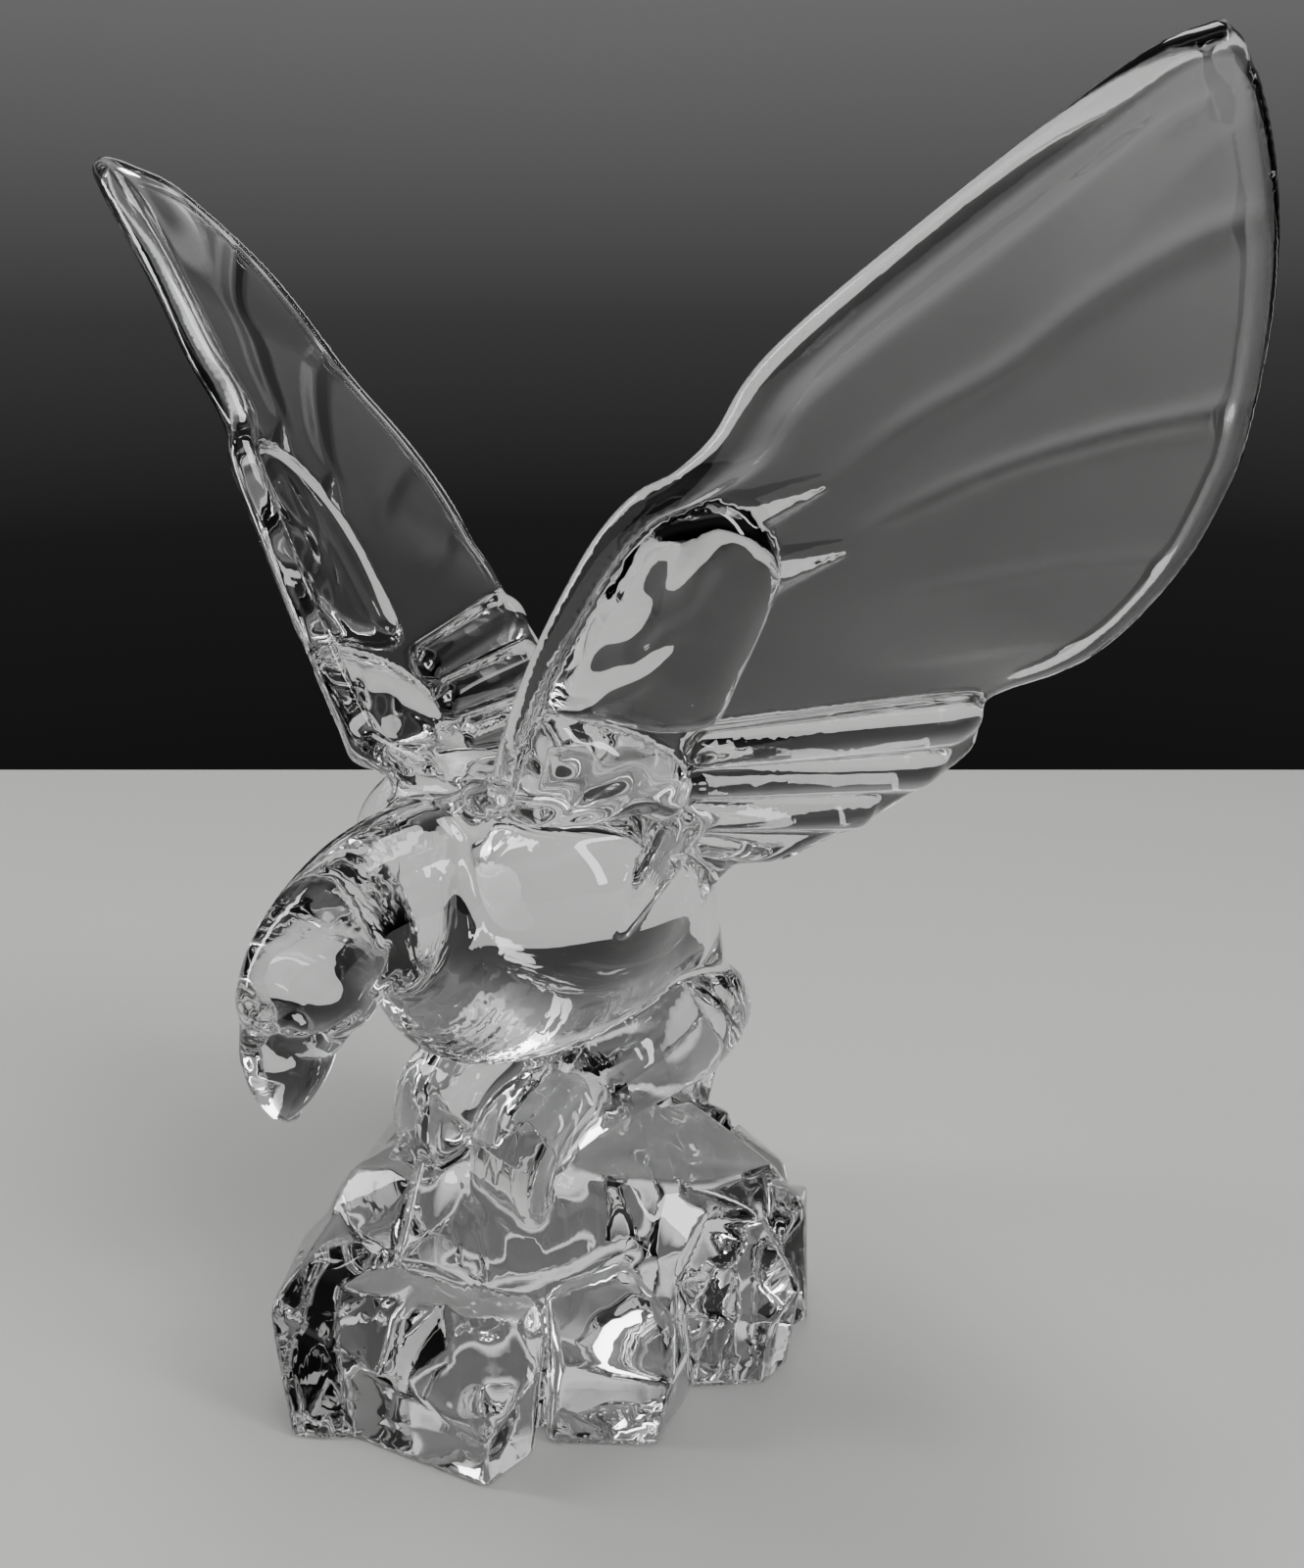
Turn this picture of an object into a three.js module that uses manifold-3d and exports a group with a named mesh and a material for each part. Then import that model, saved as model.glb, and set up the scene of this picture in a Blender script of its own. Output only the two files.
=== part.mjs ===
// Cast crystal eagle, landing on a broken rock with its wings raised.
// Millimetres, +Z up. The eagle looks along -Y and its left wing is on +X.
// The origin is the middle of the rock's flat underside.
import * as THREE from "three";
import { ConvexGeometry } from "three/addons/geometries/ConvexGeometry.js";
import { mergeVertices } from "three/addons/utils/BufferGeometryUtils.js";
import Module from "manifold-3d";

// Driving dimensions
const rockWidth = 116;
const rockDepth = 128;
const rockHeight = 50;
const birdHeight = 200; // crest of the rock to the wing tips
const wingSpan = 250; // tip to tip
const bladeThickness = 3.2; // the clear outer blade of a wing
const edgeThickness = 6; // rounded bar along a wing's leading edge
const padThickness = 7; // raised feather pad over a wing's forearm
const quillThickness = 9; // rounded secondary feathers at a wing's inner rear edge
const tailThickness = 7;
const footSink = 3; // how far the feet are cast into the rock

// Free form: every point of the bird is in hundredths of its height, counted from the
// crest of the rock, and every point of the rock in hundredths of its own three sizes.
const birdUnit = birdHeight / 100;
const bird = (x, y, z) => new THREE.Vector3(x * birdUnit, y * birdUnit, rockHeight + z * birdUnit);
const rock = (x, y, z) =>
  new THREE.Vector3((x * rockWidth) / 100, (y * rockDepth) / 100, (z * rockHeight) / 100);

// Geometry helpers

// One value along a smooth curve through evenly named stations, row by row.
function splineRows(rows, count) {
  const result = [];
  for (let i = 0; i < count; i += 1) {
    const place = (i / (count - 1)) * (rows.length - 1);
    const k = Math.min(Math.floor(place), rows.length - 2);
    const t = place - k;
    const before = rows[Math.max(k - 1, 0)];
    const after = rows[Math.min(k + 2, rows.length - 1)];
    result.push(rows[k].map((value, j) => {
      const next = rows[k + 1][j];
      const slopeIn = (next - before[j]) / 2;
      const slopeOut = (after[j] - value) / 2;
      const rise = next - value;
      return value + t * slopeIn + t * t * (3 * rise - 2 * slopeIn - slopeOut)
        + t * t * t * (slopeIn + slopeOut - 2 * rise);
    }));
  }
  return result;
}

// Value of a curve given as [place, value] knots, smooth between them.
function curveAt(knots, place) {
  if (place <= knots[0][0]) return knots[0][1];
  const last = knots.length - 1;
  if (place >= knots[last][0]) return knots[last][1];
  let k = 0;
  while (knots[k + 1][0] < place) k += 1;
  const slope = (i) => {
    const a = knots[Math.max(i - 1, 0)];
    const b = knots[Math.min(i + 1, last)];
    return (b[1] - a[1]) / (b[0] - a[0]);
  };
  const width = knots[k + 1][0] - knots[k][0];
  const t = (place - knots[k][0]) / width;
  const rise = knots[k + 1][1] - knots[k][1];
  const m0 = slope(k) * width;
  const m1 = slope(k + 1) * width;
  return knots[k][1] + t * m0 + t * t * (3 * rise - 2 * m0 - m1) + t * t * t * (m0 + m1 - 2 * rise);
}

// A closed skin over rings of equally many points, with a flat fan at each end.
function skin(rings) {
  const sides = rings[0].length;
  const points = rings.flat();
  const faces = [];
  for (let i = 0; i + 1 < rings.length; i += 1) {
    for (let j = 0; j < sides; j += 1) {
      const a = i * sides + j;
      const b = i * sides + ((j + 1) % sides);
      faces.push(a, b + sides, b, a, a + sides, b + sides);
    }
  }
  const closeEnd = (ring, start, flip) => {
    const middle = new THREE.Vector3();
    ring.forEach((p) => middle.addScaledVector(p, 1 / sides));
    const centre = points.push(middle) - 1;
    for (let j = 0; j < sides; j += 1) {
      const a = start + j;
      const b = start + ((j + 1) % sides);
      if (flip) faces.push(centre, a, b);
      else faces.push(centre, b, a);
    }
  };
  closeEnd(rings[0], 0, true);
  closeEnd(rings[rings.length - 1], (rings.length - 1) * sides, false);
  const geometry = new THREE.BufferGeometry().setFromPoints(points);
  geometry.setIndex(faces);
  return geometry;
}

// Rings square to a path. Each row is [x, y, z, half width, half height] in bird units.
function pathRings(rows, count, sides, squareness = 2) {
  const stations = splineRows(rows, count);
  const centres = stations.map((row) => bird(row[0], row[1], row[2]));
  return stations.map((row, i) => {
    const along = centres[Math.min(i + 1, count - 1)].clone().sub(centres[Math.max(i - 1, 0)]);
    along.normalize();
    const side = new THREE.Vector3(1, 0, 0).addScaledVector(along, -along.x).normalize();
    const up = new THREE.Vector3().crossVectors(side, along);
    return Array.from({ length: sides }, (_, j) => {
      const angle = (2 * Math.PI * j) / sides;
      const round = (value) => Math.sign(value) * Math.abs(value) ** (2 / squareness);
      return centres[i].clone()
        .addScaledVector(side, round(Math.cos(angle)) * row[3] * birdUnit)
        .addScaledVector(up, round(Math.sin(angle)) * row[4] * birdUnit);
    });
  });
}

// Body, neck, head and beak

function torso() {
  return skin(pathRings([
    [0, -18, 31, 3, 3],
    [0, -15, 29.5, 9.5, 10],
    [0, -9, 27, 13, 14.5],
    [0, 0, 24.5, 14.5, 16],
    [0, 9, 22, 13.6, 14.2],
    [0, 17, 18.6, 11.4, 11],
    [0, 22, 14, 8.8, 7],
    [0, 24.5, 10, 7.4, 4.6],
  ], 16, 18));
}

function neckAndHead() {
  return skin(pathRings([
    [0, -6, 29, 8.5, 9.5],
    [0, -12.5, 31, 8, 9],
    [0, -18.5, 31, 7, 8],
    [0, -23.8, 28.8, 6.3, 7],
    [0, -26.8, 25.4, 5.8, 6.4],
    [0, -28.4, 22.2, 4.4, 5.4],
    [0, -29, 19.8, 3.2, 4.6],
    [0, -29.4, 17.4, 2.4, 3.6],
    [0, -29.6, 15.2, 1.6, 2.3],
    [0, -29.4, 13.6, 0.6, 0.8],
  ], 20, 16));
}

function shoulder() {
  const centre = bird(8, 1, 30);
  return new THREE.SphereGeometry(1, 12, 8)
    .scale(8.6 * birdUnit, 14.5 * birdUnit, 9.8 * birdUnit)
    .rotateX(-0.35)
    .translate(centre.x, centre.y, centre.z);
}

// The pointed fold of feathers that runs down each flank from the root of the wing.
function flankFold() {
  return skin(pathRings([
    [17.6, 4.6, 37, 1.5, 2.4],
    [17.6, 3.4, 35, 1.6, 2.7],
    [17.2, 2, 33, 1.4, 2.4],
    [16.6, 0, 30, 1, 1.5],
    [16, -1, 28, 0.5, 0.7],
  ], 8, 8));
}

// Tail, thighs and feet

// Feathers of the tail, side by side, from the rump down to the back of the rock.
function tailFeathers() {
  const half = tailThickness / birdUnit / 2;
  return [-6.2, -3.1, 0, 3.1, 6.2].map((offset) => {
    const spread = offset * 0.95;
    return skin(pathRings([
      [spread * 0.8, 20, 15, 2, half + 3],
      [spread * 0.9, 24.4, 10.4, 2.1, half + 1],
      [spread, 26.8, 5, 2.1, half],
      [spread, 27, -1, 2.1, half],
      [spread * 0.94, 25, -9, 2, half],
    ], 9, 8, 2.6));
  });
}

function thigh(side) {
  return skin(pathRings([
    [side * 4, 30.5, 2.2, 3.4, 3.4],
    [side * 4.6, 27.5, 2.8, 5.2, 6],
    [side * 6, 20, 4.4, 6.2, 7.6],
    [side * 7.2, 10, 5.4, 6, 6.6],
    [side * 7.2, 2, 4.2, 4.8, 5],
    [side * 6.6, -4, 2, 4, 4.2],
  ], 12, 12));
}

function foot(side) {
  const sink = footSink / birdUnit;
  return [-2.5, 0, 2.5].map((offset) => skin(pathRings([
    [side * 6.4 + offset * 0.4, 2, 2.5, 2, 2],
    [side * 6.4 + offset * 0.8, -2, 4.8, 2.6, 2.6],
    [side * 6.4 + offset, -6.4, 3.6, 2.6, 2.8],
    [side * 6.4 + offset, -8.4, -0.6, 2.2, 2.4],
    [side * 6.4 + offset, -7.8, -sink - 3, 1.2, 1.4],
  ], 7, 8)));
}

// Wings. A wing has its own flat frame: s runs from its root to its tip and c back across
// the feathers, both in hundredths of its length, and n is out of its inner face, in mm.
const wingRoot = bird(7, -12.5, 38.5);
const wingTip = new THREE.Vector3(wingSpan / 2, bird(0, -3.5, 0).y, rockHeight + birdHeight);
const wingLength = wingRoot.distanceTo(wingTip);
const spanAxis = wingTip.clone().sub(wingRoot).normalize();
const bladeNormal = new THREE.Vector3(-0.685, 0.478, 0.549);
bladeNormal.addScaledVector(spanAxis, -bladeNormal.dot(spanAxis)).normalize();
const chordAxis = new THREE.Vector3().crossVectors(bladeNormal, spanAxis);

const leadingEdge = [
  [-6, 2], [0, 0], [7, -1.2], [15, -3.6], [25, -6], [33, -7.2], [40, -7.8], [45, -7.2],
  [48.5, -5.4], [53, -4.8], [59, -6], [64, -6], [77, -4.2], [89, -2.4], [97, -0.8], [100, 1.4],
];
const trailingEdge = [
  [-6, 40], [-1, 39.6], [6.2, 42.5], [10.7, 47.5], [14.3, 51.9], [21.1, 55.6], [28.4, 57.6],
  [32.6, 54.9], [35.4, 51.9], [44.5, 54.6], [54, 55.2], [65, 51.6], [75, 44.4], [80, 39.6],
  [85, 34.4], [89, 29.6], [92.5, 24.4], [95.5, 18.6], [98, 12.8], [99.4, 8.2], [100, 4],
];
const camber = [
  [-6, -1.5], [0, 0], [7, 3], [25, 7], [40, 9.5], [54, 9.5], [66, 8.5], [77, 6.5], [89, 3.5], [100, 0],
];
const rearCurl = 4.5; // how far the inner rear feathers curl inward, mm
const tipCurl = 5.5; // how far the rear of the wing's tip curls inward, mm
const rootTuck = 9; // how far the root turns in under the pad's lower lip, mm

function wingPoint(s, c, n) {
  const share = wingLength / 100;
  const curl = rearCurl * (Math.max(0, c) / 50) ** 1.5 * smoothStep(0, 18, s) * smoothStep(50, 34, s)
    + tipCurl * smoothStep(74, 94, s) * smoothStep(-1, 12, c);
  return wingRoot.clone()
    .addScaledVector(spanAxis, s * share)
    .addScaledVector(chordAxis, c * share)
    .addScaledVector(bladeNormal, curveAt(camber, s) + curl + rootTuck * smoothStep(8, 0, s) + n);
}

const smoothStep = (from, to, value) => {
  const t = Math.min(1, Math.max(0, (value - from) / (to - from)));
  return t * t * (3 - 2 * t);
};

// Extra height of the feather pad on the outer face.
function padHeight(s, c) {
  const along = smoothStep(48, 44, s);
  const across = smoothStep(20 - 0.1 * s, 15 - 0.1 * s, c) * smoothStep(-6, 1, c);
  const fold = 1 - 0.5 * Math.exp(-(((s - 21) / 2) ** 2));
  return (padThickness - bladeThickness) * along * across * fold;
}

// Four shallow flutes fan out over the blade from the end of the pad.
function fluteDepth(s, c) {
  const angle = Math.atan2(c - 6, s - 38);
  const wave = Math.cos(((angle - 0.35) / 0.32) * 2 * Math.PI);
  const far = Math.hypot(s - 38, c - 6);
  return 0.5 * bladeThickness * 0.25 * (1 + wave) * smoothStep(8, 20, far) * smoothStep(0.1, 0.3, angle);
}

function wing() {
  const share = wingLength / 100;
  const stations = 30;
  const nose = [0.12, 0.4, 0.85, 1.3].map((width) => width * edgeThickness); // from the front edge, mm
  const across = [0.28, 0.4, 0.52, 0.64, 0.77, 0.9];
  const rings = [];
  for (let i = 0; i <= stations; i += 1) {
    const s = -6 + (106 * i) / stations;
    const front = curveAt(leadingEdge, s);
    const back = curveAt(trailingEdge, s);
    const root = smoothStep(14, -4, s);
    const halfAt = (c) => {
      const toFront = (c - front) * share;
      const toBack = (back - c) * share;
      const bar = (edgeThickness / 2) * smoothStep(edgeThickness * 1.6, edgeThickness * 0.8, toFront);
      const body = Math.max(bladeThickness / 2, bar) + root * padThickness * 0.35;
      const roundFront = Math.sqrt(Math.min(1, Math.max(0, toFront / (edgeThickness / 2))));
      const roundRear = Math.sqrt(Math.min(1, Math.max(0, toBack / bladeThickness)));
      return body * roundFront * roundRear;
    };
    const chord = back - front;
    const places = [
      ...nose.map((width, k) => front + Math.min(width / share, chord * 0.06 * (k + 1))),
      ...across.map((t) => front + chord * t),
    ];
    const inner = places.map((c) => wingPoint(s, c, halfAt(c) - fluteDepth(s, c)));
    const outer = places.map((c) => wingPoint(s, c, -halfAt(c) - padHeight(s, c)));
    rings.push([wingPoint(s, front, 0), ...inner, wingPoint(s, back, 0), ...outer.reverse()]);
  }
  return skin(rings);
}

// The rounded secondary feathers at the inner rear edge.
function quill(from, to, width) {
  const rings = [];
  const count = 8;
  const sides = 8;
  for (let i = 0; i <= count; i += 1) {
    const t = i / count;
    const s = from[0] + (to[0] - from[0]) * t;
    const c = from[1] + (to[1] - from[1]) * t;
    const swell = Math.sqrt(Math.max(0.02, 1 - (2 * t - 1) ** 4));
    const dirS = (to[1] - from[1]) / Math.hypot(to[0] - from[0], to[1] - from[1]);
    const dirC = -(to[0] - from[0]) / Math.hypot(to[0] - from[0], to[1] - from[1]);
    rings.push(Array.from({ length: sides }, (_, j) => {
      const angle = (2 * Math.PI * j) / sides;
      const reach = Math.cos(angle) * swell * width * (0.62 + 0.38 * t);
      return wingPoint(s + dirS * reach, c + dirC * reach, Math.sin(angle) * swell * quillThickness / 2);
    }));
  }
  return skin(rings);
}

const quills = [
  { from: [18.8, 18.2], to: [33, 53], width: 3.1 },
  { from: [14.5, 20.6], to: [24.6, 54.5], width: 3.1 },
  { from: [10.1, 23.9], to: [15.9, 50.3], width: 3 },
];

// Rock. Each block is the convex hull of its own corners.
const blocks = [
  // low core that closes the foot of the gaps between the blocks
  [[-34, -22, 0], [4, -35, 0], [36, -18, 0], [42, 10, 0], [36, 34, 0], [8, 46, 0], [-30, 40, 0], [-42, 4, 0],
    [-30, -20, 24], [4, -30, 20], [33, -14, 24], [38, 10, 26], [32, 32, 26], [8, 43, 26], [-28, 37, 26], [-38, 4, 26]],
  // crest under the feet
  [[-28, -16, 0], [0, -26, 0], [34, 0, 0], [28, 38, 0], [-30, 40, 0], [-36, 8, 0],
    [-3, -28, 56], [10, -22.5, 55], [23, -15, 54], [31, -4, 56], [36, 4, 60], [34, 16, 72],
    [3, -22, 76], [9, -16.5, 81], [19, -11, 80], [24, 0, 86],
    [-10, -15, 96], [11, -9, 97], [18, 8, 90], [8, 24, 84], [-14, 22, 84], [-20, 0, 88]],
  // middle front block with the sharp corner
  [[3, -43.6, 0], [18.5, -38.8, 0], [29.2, -35.9, 0], [30.2, -26.7, 0], [12, -10, 0], [-8, -20, 0],
    [-2.6, -41.4, 34], [8.9, -39, 29], [17.2, -37.2, 25], [28.4, -34.8, 22], [28.6, -28.4, 30], [28, -22.6, 33],
    [-8.2, -36.5, 51], [5.8, -30.4, 51], [12.8, -25.6, 51], [21.3, -21.3, 47], [-2, -14, 51], [16, -8, 49]],
  // left ridged block
  [[-4.2, -49.9, 0], [3.6, -44, 0], [-14, -45, 0], [-26, -33, 0], [-14, -16, 0], [4, -28, 0],
    [-9.9, -48, 21], [-3.1, -42, 33], [-14.2, -46.3, 47], [-15.2, -43.2, 52], [-14.7, -38.7, 59],
    [-17, -32.8, 62], [-8.2, -37, 51], [-25, -32, 52], [-22, -22, 64], [-8, -24, 58]],
  // second front block
  [[30.7, -23.8, 0], [45.3, -12.8, 0], [41.6, -0.1, 0], [22, 2, 0], [14, -14, 0],
    [30.2, -20, 32], [31.3, -15.4, 37], [38.8, -9, 38], [45.8, -9.4, 28], [44.6, -4, 30],
    [23.6, -16.7, 54], [31.2, -5.6, 58], [40.6, -3.6, 46], [18, -2, 62]],
  // right block with the sloping, eight-sided top
  [[41.6, -0.1, 0], [51.2, 8.9, 0], [51.4, 15.1, 0], [38, 26, 0], [20, 14, 0],
    [39, 0.8, 36], [51, 11, 29.5], [52, 17.8, 39.5], [46.6, 17.6, 52], [39.2, 12.6, 58.4], [33.4, 7.2, 58.6],
    [24, 8, 74], [34, 22, 68]],
  // right rear ledge and knuckle
  [[43, 16, 0], [42, 32, 0], [20, 42, 0], [8, 20, 0], [30, 6, 0],
    [31.5, 9.3, 78], [27.3, 13.9, 82], [36, 20.4, 73], [36.4, 28, 71], [27.7, 30, 71], [12.4, 32, 74], [10, 16, 86],
    [41, 19, 60], [40, 30, 58]],
  [[44, 17, 0], [48, 26, 0], [38, 38, 0], [30, 24, 0],
    [45.6, 20, 50], [46.2, 26.4, 56], [44, 27, 63], [40, 26, 67], [40, 35, 52], [34, 22, 66]],
  // upper left lobes
  [[-14, -31, 20], [-26, -28, 20], [-28, -8, 20], [-4, -10, 20], [-4, -28, 20],
    [-14.3, -31.1, 58], [-19, -30.9, 58], [-21.7, -28, 65], [-23.4, -22.6, 74], [-15, -20, 80],
    [-7, -25.5, 66], [-8, -20, 80], [-22, -12, 76]],
  [[-10, -18, 40], [-24, -16, 40], [-26, 6, 40], [-6, 0, 40],
    [-17.7, -18, 82], [-14.6, -16, 87], [-5, -15.6, 90], [-22, -6, 84], [-10, 0, 92], [-20, 6, 84]],
  // plainer blocks around the hidden sides
  [[-26, -34, 0], [-38, -20, 0], [-36, 0, 0], [-16, -14, 0],
    [-25, -31, 42], [-35, -18, 46], [-34, -4, 58], [-24, -14, 66]],
  [[-40, -18, 0], [-50, 6, 0], [-42, 24, 0], [-22, 8, 0],
    [-38, -14, 40], [-46, 4, 46], [-39, 18, 58], [-28, 4, 72], [-31, -6, 64]],
  [[-46, 16, 0], [-40, 34, 0], [-22, 46, 0], [-12, 20, 0],
    [-42, 18, 44], [-37, 31, 50], [-23, 41, 54], [-16, 24, 76], [-28, 16, 68]],
  [[-26, 44, 0], [-2, 50, 0], [18, 46, 0], [6, 20, 0], [-16, 24, 0],
    [-21, 42, 42], [-2, 47, 46], [14, 42, 56], [-2, 32, 74], [-14, 30, 70]],
  [[14, 48, 0], [34, 42, 0], [44, 30, 0], [20, 24, 0],
    [15, 44, 48], [31, 39, 50], [39, 31, 52], [22, 34, 66]],
];

// Joining

const wasm = await Module();
wasm.setup();

function solid(geometry) {
  const bare = geometry.clone();
  bare.deleteAttribute("normal");
  bare.deleteAttribute("uv");
  const merged = mergeVertices(bare, 1e-4);
  return new wasm.Manifold(new wasm.Mesh({
    numProp: 3,
    vertProperties: new Float32Array(merged.attributes.position.array),
    triVerts: new Uint32Array(merged.index.array),
  }));
}

function mirrored(geometry) {
  const other = geometry.clone();
  other.scale(-1, 1, 1);
  const index = Array.from(other.index.array);
  for (let i = 0; i < index.length; i += 3) [index[i], index[i + 1]] = [index[i + 1], index[i]];
  other.setIndex(index);
  return other;
}

function bufferFrom(manifold) {
  const mesh = manifold.getMesh();
  const geometry = new THREE.BufferGeometry();
  geometry.setAttribute("position", new THREE.BufferAttribute(new Float32Array(mesh.vertProperties), 3));
  geometry.setIndex(new THREE.BufferAttribute(new Uint32Array(mesh.triVerts), 1));
  geometry.computeVertexNormals();
  return geometry;
}

const leftParts = [
  wing(), shoulder(), flankFold(), thigh(1), ...foot(1),
  ...quills.map((feather) => quill(feather.from, feather.to, feather.width)),
];
const pieces = [
  torso(), neckAndHead(), ...tailFeathers(),
  ...leftParts, ...leftParts.map(mirrored),
  ...blocks.map((corners) => new ConvexGeometry(corners.map((corner) => rock(...corner)))),
];
const cast = pieces.map(solid).reduce((whole, piece) => whole.add(piece));

const crystal = new THREE.MeshStandardMaterial({ color: 0xf2f5f6, roughness: 0.03, metalness: 0 });
const eagle = new THREE.Mesh(bufferFrom(cast), crystal);
eagle.name = "crystal_eagle";

const sculpture = new THREE.Group();
sculpture.add(eagle);
export default sculpture;
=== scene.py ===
"""Looks of a cast crystal eagle that lands on a broken rock.

The eagle is one casting, so it is one clear mesh around the fixed frame. Its form is kept as
distance fields: a number for each point in space, negative inside the glass. The fields of the
body, the wings and the rock flow into each other as the glass does, and one skin is drawn
over all of them. Metres, +Z up, the eagle looks along -Y and its left wing is on +X.
"""
import logging
import math
from dataclasses import dataclass, field
from enum import Enum

import bpy
import numpy as np
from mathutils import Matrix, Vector


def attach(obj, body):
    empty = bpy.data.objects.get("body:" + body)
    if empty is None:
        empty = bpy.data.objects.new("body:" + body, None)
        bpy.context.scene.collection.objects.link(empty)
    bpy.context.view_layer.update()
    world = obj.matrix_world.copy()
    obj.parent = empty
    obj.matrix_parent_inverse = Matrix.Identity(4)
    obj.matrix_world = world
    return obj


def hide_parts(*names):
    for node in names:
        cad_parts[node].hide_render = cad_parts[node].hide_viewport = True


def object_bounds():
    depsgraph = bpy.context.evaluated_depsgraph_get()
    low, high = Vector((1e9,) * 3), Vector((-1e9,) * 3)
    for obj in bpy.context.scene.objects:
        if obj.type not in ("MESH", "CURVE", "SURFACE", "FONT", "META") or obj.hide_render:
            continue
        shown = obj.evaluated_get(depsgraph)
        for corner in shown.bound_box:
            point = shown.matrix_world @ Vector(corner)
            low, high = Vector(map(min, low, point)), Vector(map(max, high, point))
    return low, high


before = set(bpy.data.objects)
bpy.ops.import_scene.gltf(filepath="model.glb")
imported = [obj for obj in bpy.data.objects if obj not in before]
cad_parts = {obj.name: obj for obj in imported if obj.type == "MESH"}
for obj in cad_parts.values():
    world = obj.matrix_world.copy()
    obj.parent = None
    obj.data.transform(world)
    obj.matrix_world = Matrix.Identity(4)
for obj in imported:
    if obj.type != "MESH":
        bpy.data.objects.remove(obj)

CAD_BOX = [list(corner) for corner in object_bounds()]
NODE = "crystal_eagle"
MM = 0.001
CREST = 0.050
FAR_AWAY = 0.05
Row = tuple[float, ...]

log = logging.getLogger("crystal_eagle")


class Join(Enum):
    """How widely two forms flow together where they meet."""

    CREASE = 0.6 * MM
    SOFT = 2.0 * MM
    FLOWING = 5.0 * MM


class Lamp(Enum):
    """The soft lights of the studio."""

    LEFT = "window_left"
    RIGHT = "strip_right"
    TOP = "soft_top"


def smooth_step(start: float, end: float, value: np.ndarray) -> np.ndarray:
    """A soft ramp.

    Args:
        start: value where the ramp is 0.
        end: value where the ramp is 1.
        value: places to read the ramp at.

    Returns:
        The ramp's height at each place, from 0 to 1.
    """
    t = np.clip((value - start) / (end - start), 0.0, 1.0)
    return t * t * (3.0 - 2.0 * t)


def smooth_min(first: np.ndarray, second: np.ndarray, width: float) -> np.ndarray:
    """The union of two distance fields with a fillet.

    Args:
        first: distances to one form.
        second: distances to the other form.
        width: how far apart the distances still blend.

    Returns:
        The distances to the joined form.
    """
    overlap = np.maximum(width - np.abs(first - second), 0.0)
    return np.minimum(first, second) - overlap * overlap / (4.0 * width)


def smooth_max(first: np.ndarray, second: np.ndarray, width: float) -> np.ndarray:
    """The overlap of two distance fields with a rounded edge.

    Args:
        first: distances to one form.
        second: distances to the other form.
        width: how far apart the distances still blend.

    Returns:
        The distances to the common form.
    """
    return -smooth_min(-first, -second, width)


def spline_rows(rows: list[Row], count: int) -> np.ndarray:
    """Rows of values made smooth along their order.

    Args:
        rows: values at evenly spaced stations.
        count: how many rows to return.

    Returns:
        An array of count rows on one smooth curve through the given ones.
    """
    values = np.array(rows, float)
    place = np.linspace(0.0, len(values) - 1.0, count)
    k = np.minimum(place.astype(int), len(values) - 2)
    t = (place - k)[:, None]
    before = values[np.maximum(k - 1, 0)]
    after = values[np.minimum(k + 2, len(values) - 1)]
    here, there = values[k], values[k + 1]
    slope_in, slope_out, rise = (there - before) / 2.0, (after - here) / 2.0, there - here
    return (here + t * slope_in + t * t * (3.0 * rise - 2.0 * slope_in - slope_out)
            + t ** 3 * (slope_in + slope_out - 2.0 * rise))


def curve_at(knots: list[tuple[float, float]], place: np.ndarray) -> np.ndarray:
    """A smooth curve through knots.

    Args:
        knots: (place, value) pairs in rising order.
        place: where to read the curve.

    Returns:
        The value of the curve at each place.
    """
    x = np.array([knot[0] for knot in knots], float)
    y = np.array([knot[1] for knot in knots], float)
    number = np.arange(len(x))
    before, after = np.maximum(number - 1, 0), np.minimum(number + 1, len(x) - 1)
    slope = (y[after] - y[before]) / (x[after] - x[before])
    place = np.clip(place, x[0], x[-1])
    k = np.clip(np.searchsorted(x, place, side="right") - 1, 0, len(x) - 2)
    width = x[k + 1] - x[k]
    t = (place - x[k]) / width
    rise, m0, m1 = y[k + 1] - y[k], slope[k] * width, slope[k + 1] * width
    return y[k] + t * m0 + t * t * (3.0 * rise - 2.0 * m0 - m1) + t ** 3 * (m0 + m1 - 2.0 * rise)


def line_distance(points: np.ndarray, line: np.ndarray) -> tuple[np.ndarray, np.ndarray]:
    """Distance to a broken line.

    Args:
        points: (n, d) places.
        line: (m, d) corners of the line.

    Returns:
        The distance of each place, and how far along the line its nearest point is, 0 to 1.
    """
    best = np.full(len(points), np.inf)
    along = np.zeros(len(points))
    lengths = np.linalg.norm(np.diff(line, axis=0), axis=1)
    starts = np.concatenate([[0.0], np.cumsum(lengths)])
    for i, length in enumerate(lengths):
        step = line[i + 1] - line[i]
        off = points - line[i]
        t = np.clip(off @ step / (length * length), 0.0, 1.0)
        square = ((off - t[:, None] * step) ** 2).sum(1)
        nearer = square < best
        best[nearer] = square[nearer]
        along[nearer] = (starts[i] + t[nearer] * length) / starts[-1]
    return np.sqrt(best), along


def outline_distance(points: np.ndarray, outline: np.ndarray) -> np.ndarray:
    """Distance to a closed flat outline, negative inside it.

    Args:
        points: (n, 2) places.
        outline: (m, 2) corners in order.

    Returns:
        The signed distance of each place.
    """
    closed = np.vstack([outline, outline[:1]])
    distance, _ = line_distance(points, closed)
    inside = np.zeros(len(points), bool)
    for (x0, y0), (x1, y1) in zip(closed[:-1], closed[1:]):
        if y0 == y1:
            continue
        crosses = (points[:, 1] >= min(y0, y1)) & (points[:, 1] < max(y0, y1))
        inside ^= crosses & (points[:, 0] < x0 + (points[:, 1] - y0) * (x1 - x0) / (y1 - y0))
    return np.where(inside, -distance, distance)


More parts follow.
